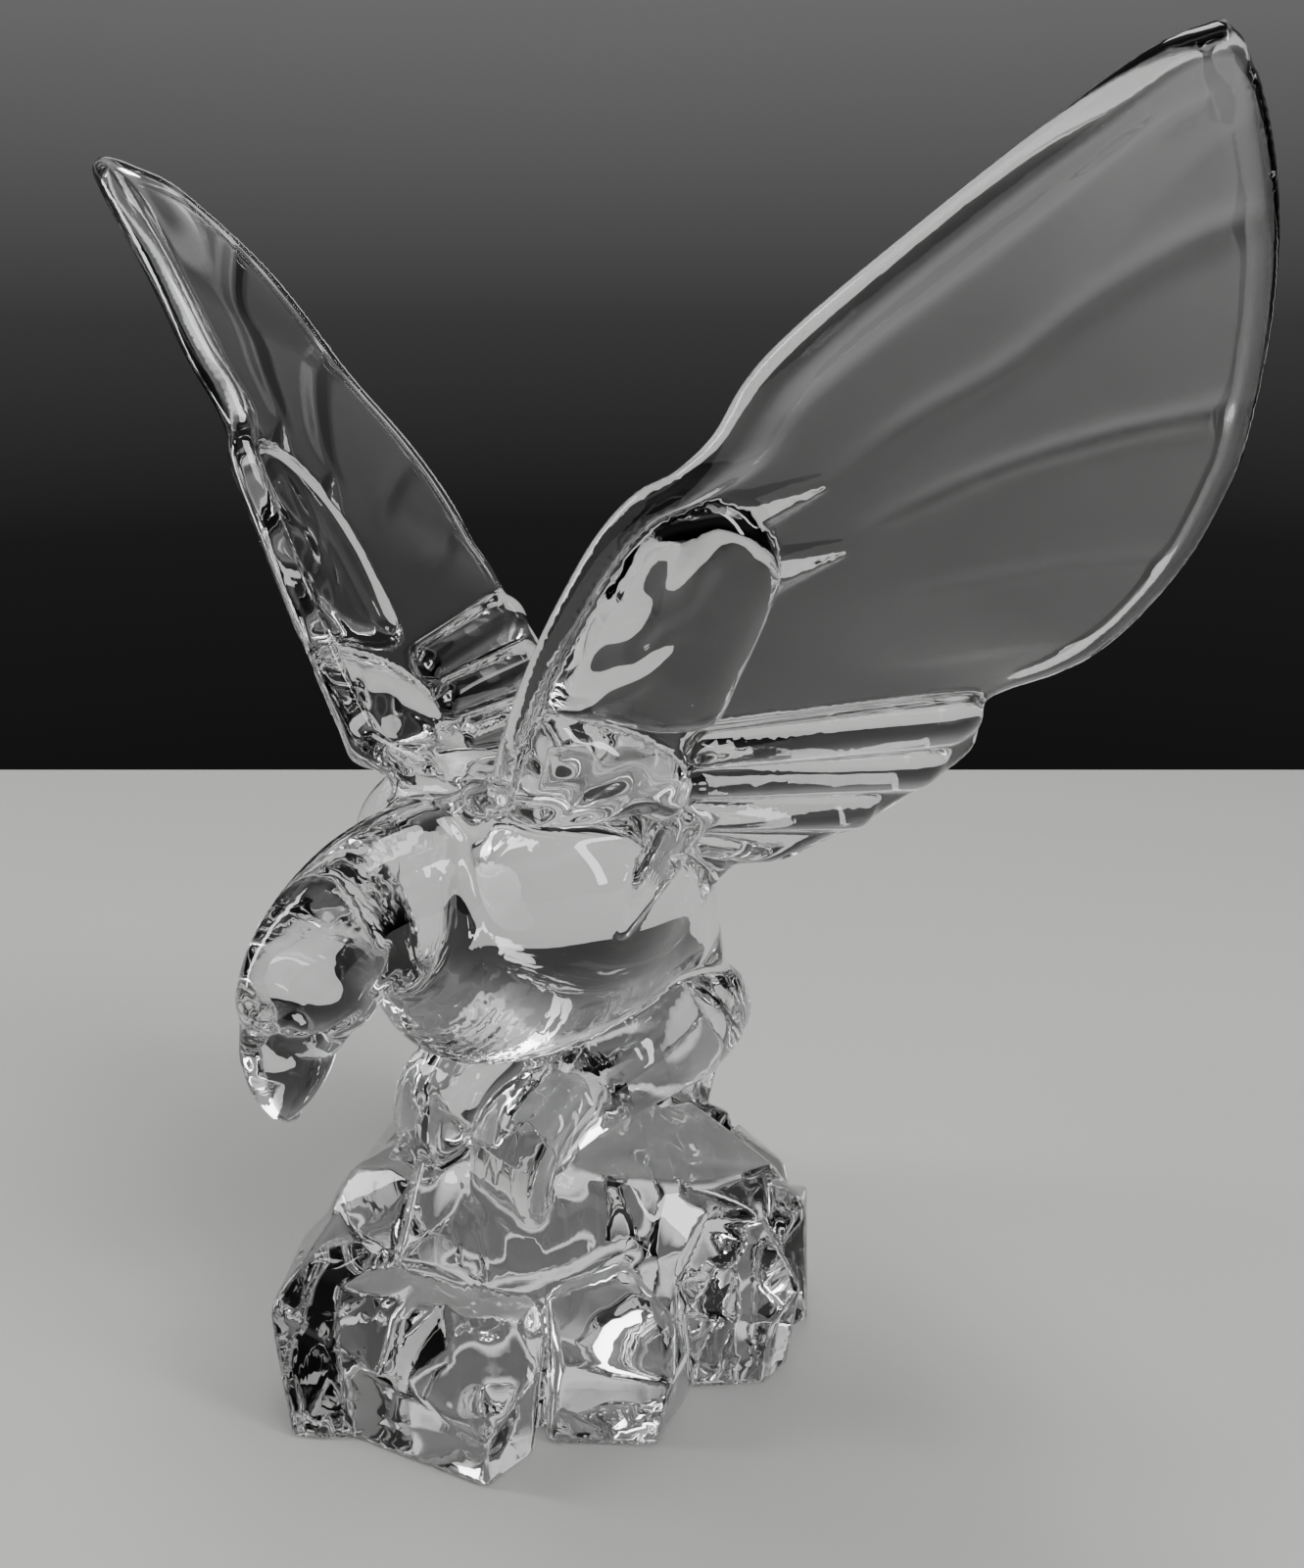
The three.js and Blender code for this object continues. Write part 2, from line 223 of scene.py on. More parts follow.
@dataclass
class Scale:
    """Real size of the free forms, read from the frame.

    The bird's points are in hundredths of its height above the crest of the rock, and the
    rock's points in hundredths of its own width, depth and height.
    """

    rock_width: float = 0.116
    rock_depth: float = 0.128
    rock_height: float = CREST
    bird_height: float = CAD_BOX[1][2] - CREST
    wing_span: float = 0.250

    @property
    def unit(self) -> float:
        """One hundredth of the bird's height."""
        return self.bird_height / 100.0

    def bird(self, x: float, y: float, z: float) -> np.ndarray:
        """A point of the bird in metres."""
        return np.array([x * self.unit, y * self.unit, self.rock_height + z * self.unit])

    def rock(self, corner: Row) -> np.ndarray:
        """A point of the rock in metres."""
        return np.array(corner) * (self.rock_width, self.rock_depth, self.rock_height) / 100.0


class Form:
    """A solid that is given by its distance field."""

    low: np.ndarray
    high: np.ndarray

    def distance(self, points: np.ndarray) -> np.ndarray:
        """Signed distance of each point, negative inside."""
        raise NotImplementedError


class Sweep(Form):
    """A round or oval body drawn along a path, with round ends."""

    def __init__(self, scale: Scale, rows: list[Row], stations: int) -> None:
        """Lays the path out.

        Args:
            scale: the sculpture's scale.
            rows: x, y, z, half width and half height along the path, in the bird's hundredths.
            stations: how many rings the path gets.
        """
        values = spline_rows(rows, stations)
        self.centres = np.array([scale.bird(*row[:3]) for row in values])
        self.halves = np.maximum(values[:, 3:5], 0.1) * scale.unit
        along = np.gradient(self.centres, axis=0)
        along /= np.linalg.norm(along, axis=1)[:, None]
        side = np.array([1.0, 0.0, 0.0]) - along * along[:, :1]
        self.sides = side / np.linalg.norm(side, axis=1)[:, None]
        self.ups = np.cross(self.sides, along)
        reach = self.halves.max(1)[:, None]
        self.low = (self.centres - reach).min(0)
        self.high = (self.centres + reach).max(0)

    def distance(self, points: np.ndarray) -> np.ndarray:
        """Signed distance of each point, negative inside."""
        best = np.full(len(points), np.inf)
        index = np.zeros(len(points), int)
        share = np.zeros(len(points))
        for i in range(len(self.centres) - 1):
            step = self.centres[i + 1] - self.centres[i]
            off = points - self.centres[i]
            t = np.clip(off @ step / (step @ step), 0.0, 1.0)
            square = ((off - t[:, None] * step) ** 2).sum(1)
            nearer = square < best
            best[nearer] = square[nearer]
            index[nearer] = i
            share[nearer] = t[nearer]
        t = share[:, None]
        centre, side, up, half = (
            values[index] * (1.0 - t) + values[index + 1] * t
            for values in (self.centres, self.sides, self.ups, self.halves)
        )
        off = points - centre
        across = (off * side).sum(1)
        height = (off * up).sum(1)
        ahead = np.sqrt(np.maximum((off * off).sum(1) - across ** 2 - height ** 2, 0.0))
        small = half.min(1)
        near = np.stack([across / half[:, 0], height / half[:, 1], ahead / small], 1)
        steep = np.stack([across / half[:, 0] ** 2, height / half[:, 1] ** 2, ahead / small ** 2], 1)
        k0 = np.linalg.norm(near, axis=1)
        k1 = np.maximum(np.linalg.norm(steep, axis=1), 1e-6)
        return np.where(k0 < 1e-3, -small, k0 * (k0 - 1.0) / k1)


class Oval(Form):
    """An ellipsoid, turned about the X axis."""

    def __init__(self, centre: np.ndarray, halves: np.ndarray, turn: float) -> None:
        """Places the ellipsoid.

        Args:
            centre: its middle.
            halves: its three half sizes.
            turn: angle about X, in radians.
        """
        self.centre = centre
        self.halves = halves
        c, s = math.cos(turn), math.sin(turn)
        self.axes = np.array([[1.0, 0.0, 0.0], [0.0, c, s], [0.0, -s, c]])
        self.low = centre - halves.max()
        self.high = centre + halves.max()

    def distance(self, points: np.ndarray) -> np.ndarray:
        """Signed distance of each point, negative inside."""
        local = (points - self.centre) @ self.axes.T
        k0 = np.linalg.norm(local / self.halves, axis=1)
        k1 = np.maximum(np.linalg.norm(local / self.halves ** 2, axis=1), 1e-6)
        return np.where(k0 < 1e-3, -self.halves.min(), k0 * (k0 - 1.0) / k1)


class Block(Form):
    """A broken piece of rock: the convex hull of its corners, with softened edges."""

    def __init__(self, corners: np.ndarray, rounding: float) -> None:
        """Finds the faces of the block.

        Args:
            corners: (n, 3) corner points.
            rounding: how wide its edges are softened.
        """
        self.rounding = rounding
        self.low = corners.min(0)
        self.high = corners.max(0)
        planes: list[np.ndarray] = []
        count = len(corners)
        for i in range(count):
            for j in range(i + 1, count):
                for k in range(j + 1, count):
                    normal = np.cross(corners[j] - corners[i], corners[k] - corners[i])
                    size = np.linalg.norm(normal)
                    if size < 1e-9:
                        continue
                    normal /= size
                    heights = (corners - corners[i]) @ normal
                    if heights.max() < 1e-7:
                        planes.append(np.append(normal, corners[i] @ normal))
                    elif heights.min() > -1e-7:
                        planes.append(np.append(-normal, -corners[i] @ normal))
        rounded = {tuple(np.round(plane, 5)): plane for plane in planes}
        self.planes = np.array(list(rounded.values()))

    def distance(self, points: np.ndarray) -> np.ndarray:
        """Signed distance of each point, negative inside."""
        result = points @ self.planes[0, :3] - self.planes[0, 3]
        for plane in self.planes[1:]:
            result = smooth_max(result, points @ plane[:3] - plane[3], self.rounding)
        return result


class Group(Form):
    """Forms that flow together."""

    MARGIN = 0.010

    def __init__(self, mirrored: bool) -> None:
        """Starts an empty group.

        Args:
            mirrored: whether the forms of the +X side are also on the other side.
        """
        self.mirrored = mirrored
        self.members: list[tuple[Form, float]] = []
        self.low = np.full(3, np.inf)
        self.high = np.full(3, -np.inf)

    def add(self, form: Form, join: float) -> None:
        """Adds a form.

        Args:
            form: the form.
            join: how widely it flows into those before it.
        """
        self.members.append((form, join))
        self.low = np.minimum(self.low, form.low)
        self.high = np.maximum(self.high, form.high)

    def distance(self, points: np.ndarray) -> np.ndarray:
        """Signed distance of each point, negative inside."""
        if self.mirrored:
            points = np.column_stack([np.abs(points[:, 0]), points[:, 1:]])
        result = np.full(len(points), FAR_AWAY)
        low, high = points.min(0), points.max(0)
        for form, join in self.members:
            first, last = form.low - self.MARGIN, form.high + self.MARGIN
            if (first > high).any() or (last < low).any():
                continue
            near = np.flatnonzero(((points > first) & (points < last)).all(1))
            if len(near):
                result[near] = smooth_min(result[near], form.distance(points[near]), join)
        return result


@dataclass
class Body:
    """The eagle's torso, shoulders, neck, head and beak."""

    torso: list[Row] = field(default_factory=lambda: [
        (0, -16, 29.6, 6, 6), (0, -9, 27, 12.8, 14.3), (0, 0, 24.5, 14.3, 15.8),
        (0, 9, 22, 13.6, 14.2), (0, 17, 18.6, 11.4, 11), (0, 22, 14, 8.8, 7), (0, 24.5, 10, 7.4, 4.6)])
    neck: list[Row] = field(default_factory=lambda: [
        (0, -6, 29, 8.5, 9.5), (0, -12.5, 31, 8, 9), (0, -18.5, 31, 7, 8), (0, -23.8, 28.8, 6.3, 7),
        (0, -26.8, 25.4, 5.8, 6.4), (0, -28.4, 22.2, 4.4, 5.4), (0, -29, 19.8, 3.2, 4.6),
        (0, -29.4, 17.4, 2.4, 3.6), (0, -29.6, 15.4, 1.5, 2.2), (0, -29.5, 14.4, 0.8, 1.1)])
    flank_fold: list[Row] = field(default_factory=lambda: [
        (17.6, 4.6, 37, 1.5, 2.4), (17.6, 3.4, 35, 1.6, 2.7), (17.2, 2, 33, 1.4, 2.4),
        (16.6, 0, 30, 1, 1.5), (16, -1, 28, 0.5, 0.7)])
    torso_rings: int = 44
    neck_rings: int = 72
    fold_rings: int = 16
    cheek_grooves: list[list[Row]] = field(default_factory=lambda: [
        [(-28.8, 24.4), (-25.6, 25.6), (-22.6, 28.4), (-20.6, 32)],
        [(-28.8, 24.4), (-30, 27), (-30.2, 30)]])
    cheek_rise: Row = (1.5, 3.5)
    head_back: float = -19.0
    head_floor: float = 10.0
    groove_depth: float = 0.7 * MM
    groove_width: float = 1.3 * MM
    beak_root: Row = (0, -28.4, 23.6)
    beak_turn: float = math.radians(20.0)
    beak_inset: float = 0.6 * MM
    beak_start: Row = (0.0, 2.0 * MM)
    beak_end: Row = (9.0 * MM, 3.0 * MM)
    shoulder_centre: Row = (8, 1, 30)
    shoulder_halves: Row = (8.6, 14.5, 9.8)
    shoulder_turn: float = -0.35

    def forms(self, scale: Scale) -> list[tuple[Form, Join]]:
        """Builds the trunk and the head.

        Args:
            scale: the sculpture's scale.

        Returns:
            The forms of the +X side with how they join.
        """
        shoulder = Oval(scale.bird(*self.shoulder_centre),
                        np.array(self.shoulder_halves) * scale.unit, self.shoulder_turn)
        return [(Sweep(scale, self.torso, self.torso_rings), Join.FLOWING),
                (Sweep(scale, self.neck, self.neck_rings), Join.FLOWING),
                (shoulder, Join.FLOWING),
                (Sweep(scale, self.flank_fold, self.fold_rings), Join.SOFT)]

    def carving(self, scale: Scale, points: np.ndarray) -> np.ndarray:
        """Depth of the grooves cut into the head.

        Args:
            scale: the sculpture's scale.
            points: (n, 3) places.

        Returns:
            How deep the head is carved at each place.
        """
        depth = np.zeros(len(points))
        _, back, floor = scale.bird(0, self.head_back, self.head_floor)
        head = np.flatnonzero((points[:, 1] < back) & (points[:, 2] > floor))
        near = points[head]
        off = near - scale.bird(*self.beak_root)
        past = -off[:, 2] * math.cos(self.beak_turn) - off[:, 1] * math.sin(self.beak_turn)
        cut = self.groove_depth * np.exp(-(past / self.groove_width) ** 2)
        cut += self.beak_inset * smooth_step(*self.beak_start, past) * smooth_step(*self.beak_end, past)
        aside = smooth_step(*(scale.unit * place for place in self.cheek_rise), np.abs(near[:, 0]))
        for groove in self.cheek_grooves:
            line = np.array([scale.bird(0, *point)[1:] for point in groove])
            gap, along = line_distance(near[:, 1:], line)
            cut += (self.groove_depth * aside * smooth_step(1.0, 0.5, along)
                    * np.exp(-(gap / self.groove_width) ** 2))
        depth[head] = cut
        return depth


@dataclass
class Legs:
    """Feathered thighs, and feet whose toes are cast into the rock."""

    foot_sink: float = 3.0 * MM
    thigh: list[Row] = field(default_factory=lambda: [
        (4, 30.5, 2.2, 3.4, 3.4), (4.6, 27.5, 2.8, 5.2, 6), (6, 20, 4.4, 6.2, 7.6),
        (7.2, 10, 5.4, 6, 6.6), (7.2, 2, 4.2, 4.8, 5), (6.6, -4, 2, 4, 4.2)])
    toe_offsets: Row = (-2.5, 0.0, 2.5)
    thigh_rings: int = 36
    toe_rings: int = 18

    def toe(self, offset: float, sink: float) -> list[Row]:
        """The path of one toe.

        Args:
            offset: how far outward the toe spreads, in hundredths.
            sink: how deep its claw goes into the rock, in hundredths.

        Returns:
            The rows of its sweep.
        """
        return [(6.4 + offset * 0.4, 2, 2.5, 2, 2), (6.4 + offset * 0.8, -2, 4.8, 2.6, 2.6),
                (6.4 + offset, -6.4, 3.6, 2.7, 2.9), (6.4 + offset, -8.4, -0.6, 2.6, 2.8),
                (6.4 + offset, -7.8, -sink - 3, 1.8, 2.0)]

    def forms(self, scale: Scale) -> list[tuple[Form, Join]]:
        """Builds one leg.

        Args:
            scale: the sculpture's scale.

        Returns:
            The forms of the +X side with how they join.
        """
        sink = self.foot_sink / scale.unit
        toes = [(Sweep(scale, self.toe(offset, sink), self.toe_rings), Join.SOFT)
                for offset in self.toe_offsets]
        return [(Sweep(scale, self.thigh, self.thigh_rings), Join.SOFT)] + toes


@dataclass
class Tail:
    """A short fan of feathers that comes down to the back of the rock."""

    thickness: float = 7.0 * MM
    groove_depth: float = 0.9 * MM
    groove_width: float = 1.1 * MM
    groove_places: Row = (1.5, 4.6)
    groove_rise: Row = (12.0, 7.0)
    groove_back: Row = (22.0, 26.0)
    rings: int = 30
    rows: list[Row] = field(default_factory=lambda: [
        (0, 20, 15, 7.6, 3), (0, 24.4, 10.4, 7.8, 1), (0, 26.8, 5, 7.6, 0), (0, 27, -1, 7, 0),
        (0, 25, -9, 6.2, 0)])

    def forms(self, scale: Scale) -> list[tuple[Form, Join]]:
        """Builds the tail.

        Args:
            scale: the sculpture's scale.

        Returns:
            The forms of the +X side with how they join.
        """
        half = self.thickness / scale.unit / 2.0
        rows = [(*row[:4], half + row[4]) for row in self.rows]
        return [(Sweep(scale, rows, self.rings), Join.FLOWING)]

    def carving(self, scale: Scale, points: np.ndarray) -> np.ndarray:
        """Depth of the grooves between the tail feathers.

        Args:
            scale: the sculpture's scale.
            points: (n, 3) places.

        Returns:
            How deep the tail is carved at each place.
        """
        start, end = (scale.bird(0, back, rise) for back, rise in zip(self.groove_back, self.groove_rise))
        low = smooth_step(start[2], end[2], points[:, 2])
        behind = smooth_step(start[1], end[1], points[:, 1])
        across = np.abs(points[:, 0]) / scale.unit
        grooves = sum(np.exp(-((across - place) * scale.unit / self.groove_width) ** 2)
                      for place in self.groove_places)
        return self.groove_depth * low * behind * grooves


class Wing(Form):
    """A raised wing: a clear cambered blade with a thick front edge, a feather pad and quills.

    The wing has its own flat frame. s runs from its root to its tip, c back across the
    feathers, and n out of its inner face.
    """

    PITCH = 0.5 * MM
    LOW_SHARE = (-0.10, -0.14)
    HIGH_SHARE = (1.05, 0.64)
    REACH = 20.0 * MM
    SLACK = 4.0 * MM

    def __init__(self, scale: Scale, sizes: "WingSizes") -> None:
        """Lays the wing's relief out over its flat frame.

        Args:
            scale: the sculpture's scale.
            sizes: the wing's sizes and outlines.
        """
        self.sizes = sizes
        self.root = scale.bird(*sizes.root)
        tip = np.array([scale.wing_span / 2.0, scale.bird(0, sizes.tip_back, 0)[1],
                        scale.rock_height + scale.bird_height])
        self.length = float(np.linalg.norm(tip - self.root))
        self.share = self.length / 100.0
        self.span = (tip - self.root) / self.length
        normal = np.array(sizes.face)
        normal -= self.span * (normal @ self.span)
        self.normal = normal / np.linalg.norm(normal)
        self.chord = np.cross(self.normal, self.span)
        self.corner = np.array(self.LOW_SHARE) * self.length
        size = np.array(self.HIGH_SHARE) * self.length - self.corner
        self.count = np.ceil(size / self.PITCH).astype(int)
        s, c = (self.corner[i] + self.PITCH * np.arange(self.count[i]) for i in (0, 1))
        places = np.stack(np.meshgrid(s, c, indexing="ij"), -1).reshape(-1, 2)
        self.tables = {name: table.reshape(self.count) for name, table in self.relief(places).items()}
        corners = self.world(np.array([[a, b, n] for a in (s[0], s[-1]) for b in (c[0], c[-1])
                                       for n in (-self.REACH, self.REACH)]))
        self.low = corners.min(0)
        self.high = corners.max(0)
        self.low[0] = max(self.low[0], -0.001)
        self.high = np.minimum(self.high, np.array(CAD_BOX[1]) + self.SLACK)

    def world(self, local: np.ndarray) -> np.ndarray:
        """Points of the wing's frame in the sculpture's frame."""
        return self.root + local @ np.stack([self.span, self.chord, self.normal])

    def outline(self) -> np.ndarray:
        """The blade's outline in the wing's frame, from root to tip and back."""
        places = np.linspace(-6.0, 100.0, 110)
        front = np.stack([places, curve_at(self.sizes.leading_edge, places)], 1)
        back = np.stack([places, curve_at(self.sizes.trailing_edge, places)], 1)
        return np.vstack([front, back[::-1]]) * self.share

    def relief(self, places: np.ndarray) -> dict[str, np.ndarray]:
        """Works the wing's profile out.

        Args:
            places: (n, 2) places in the wing's flat frame.

        Returns:
            Tables by name: the camber, the outline's distance, the half thickness on either
            face, the distances to the outlines of the pads and the waves on the pads.
        """
        sizes = self.sizes
        s, c = places[:, 0] / self.share, places[:, 1] / self.share
        curl = (sizes.rear_curl * (np.maximum(c, 0.0) / sizes.curl_chord) ** 1.5
                * smooth_step(*sizes.curl_rise, s) * smooth_step(*sizes.curl_fall, s)
                + sizes.tip_curl * smooth_step(*sizes.tip_rise, s) * smooth_step(*sizes.tip_spread, c))
        middle = (curve_at(sizes.camber, s) * MM * self.length / sizes.camber_length + curl
                  + sizes.root_tuck * smooth_step(*sizes.tuck_fall, s))
        outline = self.outline()
        half_way = len(outline) // 2
        edge = outline_distance(places, outline)
        front, _ = line_distance(places, outline[:half_way])
        back, _ = line_distance(places, outline[half_way:])
        plain = sizes.blade_thickness / 2.0
        nose = np.sqrt(np.clip(1.0 - (np.minimum(front / sizes.edge_nose, 1.0) - 1.0) ** 2, 0.0, 1.0))
        reach = sizes.edge_width + (sizes.edge_bevel - sizes.edge_width) * smooth_step(*sizes.bevel_rise, s)
        bar = sizes.edge_thickness / 2.0 * (0.2 + 0.8 * nose) * smooth_step(reach, sizes.edge_nose, front)
        bar *= 0.66 + 0.34 * smooth_step(*sizes.tip_thinning, s)
        inner_side = front - sizes.edge_width - sizes.groove_gap
        groove = sizes.edge_groove * np.exp(-(inner_side / sizes.groove_width) ** 2)
        groove *= smooth_step(*sizes.groove_fall, s)
        rim = sizes.rim_bead * np.exp(-((back - sizes.rim_inset) / sizes.rim_width) ** 2)
        rim *= smooth_step(*sizes.rim_rise, s)
        root = sizes.pad_thickness * 0.35 * smooth_step(*sizes.root_fall, s)
        half = smooth_max(np.full_like(bar, plain), bar, sizes.edge_join) - groove + rim + root
        flute_out, flute_in = np.zeros_like(half), np.zeros_like(half)
        for line, strength in zip(sizes.flutes, sizes.flute_strengths):
            gap, along = line_distance(places, spline_rows(line, 24) * self.share)
            depth = (strength * sizes.flute_depth
                     * smooth_step(*sizes.flute_rise, along) * smooth_step(*sizes.flute_fall, along))
            flute_out += depth * np.exp(-(gap / sizes.flute_width) ** 2)
            flute_in += depth * np.exp(-(gap / (1.5 * sizes.flute_width)) ** 2)
        upper = outline_distance(places, spline_closed(sizes.upper_pad, 6) * self.share)
        lower = outline_distance(places, spline_closed(sizes.lower_pad, 6) * self.share)
        spike = np.zeros_like(half)
        for line in sizes.spikes:
            gap, along = line_distance(places, np.array(line, float) * self.share)
            reach = (1.0 - along) * sizes.spike_width + sizes.spike_point
            spike = np.maximum(spike, (1.0 - 0.6 * along) * np.clip(1.0 - gap / reach, 0.0, 1.0))
        half_out = half + sizes.spike_height * spike
        # Two crossing sets of waves, each bent sideways by a slower one.
        turn = 2.0 * np.pi / sizes.wave_length
        wave = np.sin(turn * (0.9 * s + 0.5 * c + 2.0 * np.sin(c / 2.9)))
        wave += 0.7 * np.sin(turn * (1.3 * c - 0.4 * s + 1.6 * np.sin(s / 3.3)))
        wave *= 1.0 - smooth_step(*sizes.calm_rise, s) * smooth_step(*sizes.calm_spread, c)
        return {"middle": middle, "edge": edge, "inner": half - 0.3 * flute_in,
                "outer": half_out - flute_out, "upper_pad": upper, "lower_pad": lower,
                "wave": sizes.wave_height * wave}

    def table_values(self, s: np.ndarray, c: np.ndarray, *names: str) -> list[np.ndarray]:
        """Reads tables between their points.

        Args:
            s: places along the span.
            c: places across the feathers.
            names: the tables to read.

        Returns:
            One array of values for each table.
        """
        u = np.clip((s - self.corner[0]) / self.PITCH, 0.0, self.count[0] - 1.001)
        v = np.clip((c - self.corner[1]) / self.PITCH, 0.0, self.count[1] - 1.001)
        i, j = u.astype(int), v.astype(int)
        u, v = u - i, v - j
        results = []
        for name in names:
            table = self.tables[name]
            results.append((table[i, j] * (1 - u) + table[i + 1, j] * u) * (1 - v)
                           + (table[i, j + 1] * (1 - u) + table[i + 1, j + 1] * u) * v)
        return results

    def distance(self, points: np.ndarray) -> np.ndarray:
        """Signed distance of each point, negative inside."""
        sizes = self.sizes
        off = points - self.root
        s, c = off @ self.span, off @ self.chord
        middle, edge, inner, outer, upper, lower, wave = self.table_values(
            s, c, "middle", "edge", "inner", "outer", "upper_pad", "lower_pad", "wave")
        n = off @ self.normal - middle
        result = rounded_plate(np.maximum(n - inner, -n - outer), edge, np.minimum(inner, outer) * 0.9)
        for pad, height in ((upper, sizes.pad_thickness), (lower, sizes.lower_pad_thickness)):
            dome = 1.0 - (1.0 - np.clip(-pad / sizes.pad_shoulder, 0.0, 1.0)) ** 2
            top = height * (0.6 + 0.4 * dome) + wave * dome
            plate = rounded_plate(np.abs(n + top / 2.0) - top / 2.0, pad, height * (0.27 + 0.15 * dome))
            result = smooth_min(result, plate, sizes.pad_join)
        for quill in sizes.quills:
            start, end = (np.array(point) * self.share for point in (quill.start, quill.end))
            step = end - start
            reach = quill.width * self.share
            core = np.linalg.norm(step) - 1.3 * reach
            step /= np.linalg.norm(step)
            a, b = s - start[0], c - start[1]
            t = a * step[0] + b * step[1] - reach * 0.6
            aside = a * step[1] - b * step[0]
            beyond = t - np.clip(t, 0.0, core)
            swell = 0.62 + 0.38 * np.clip(t / core, 0.0, 1.0)
            wide, tall = reach * swell, sizes.quill_thickness / 2.0
            flat, high = np.sqrt(aside ** 2 + beyond ** 2) / wide, n / tall
            k0 = np.sqrt(flat ** 2 + high ** 2)
            k1 = np.maximum(np.sqrt((flat / wide) ** 2 + (high / tall) ** 2), 1e-6)
            result = smooth_min(result, k0 * (k0 - 1.0) / k1, sizes.quill_join)
        return result


def rounded_plate(face: np.ndarray, edge: np.ndarray, rounding: np.ndarray) -> np.ndarray:
    """Distance to a plate whose rim is rounded.

    Args:
        face: distance to the plate's faces.
        edge: distance to the plate's outline.
        rounding: radius of the rim.

    Returns:
        The distance to the plate.
    """
    a, b = face + rounding, edge + rounding
    return np.minimum(np.maximum(a, b), 0.0) + np.hypot(np.maximum(a, 0.0), np.maximum(b, 0.0)) - rounding


def spline_closed(corners: list[Row], steps: int) -> np.ndarray:
    """A closed smooth outline through corners.

    Args:
        corners: points in order.
        steps: how many points each stretch gets.

    Returns:
        The points of the outline.
    """
    count = len(corners)
    wrapped = list(corners[-2:]) + list(corners) + list(corners[:3])
    smooth = spline_rows(wrapped, (len(wrapped) - 1) * steps + 1)
    return smooth[2 * steps:(2 + count) * steps]


@dataclass(frozen=True)
class Quill:
    """One rounded feather at a wing's inner rear edge, in hundredths of the wing's length."""

    start: Row
    end: Row
    width: float


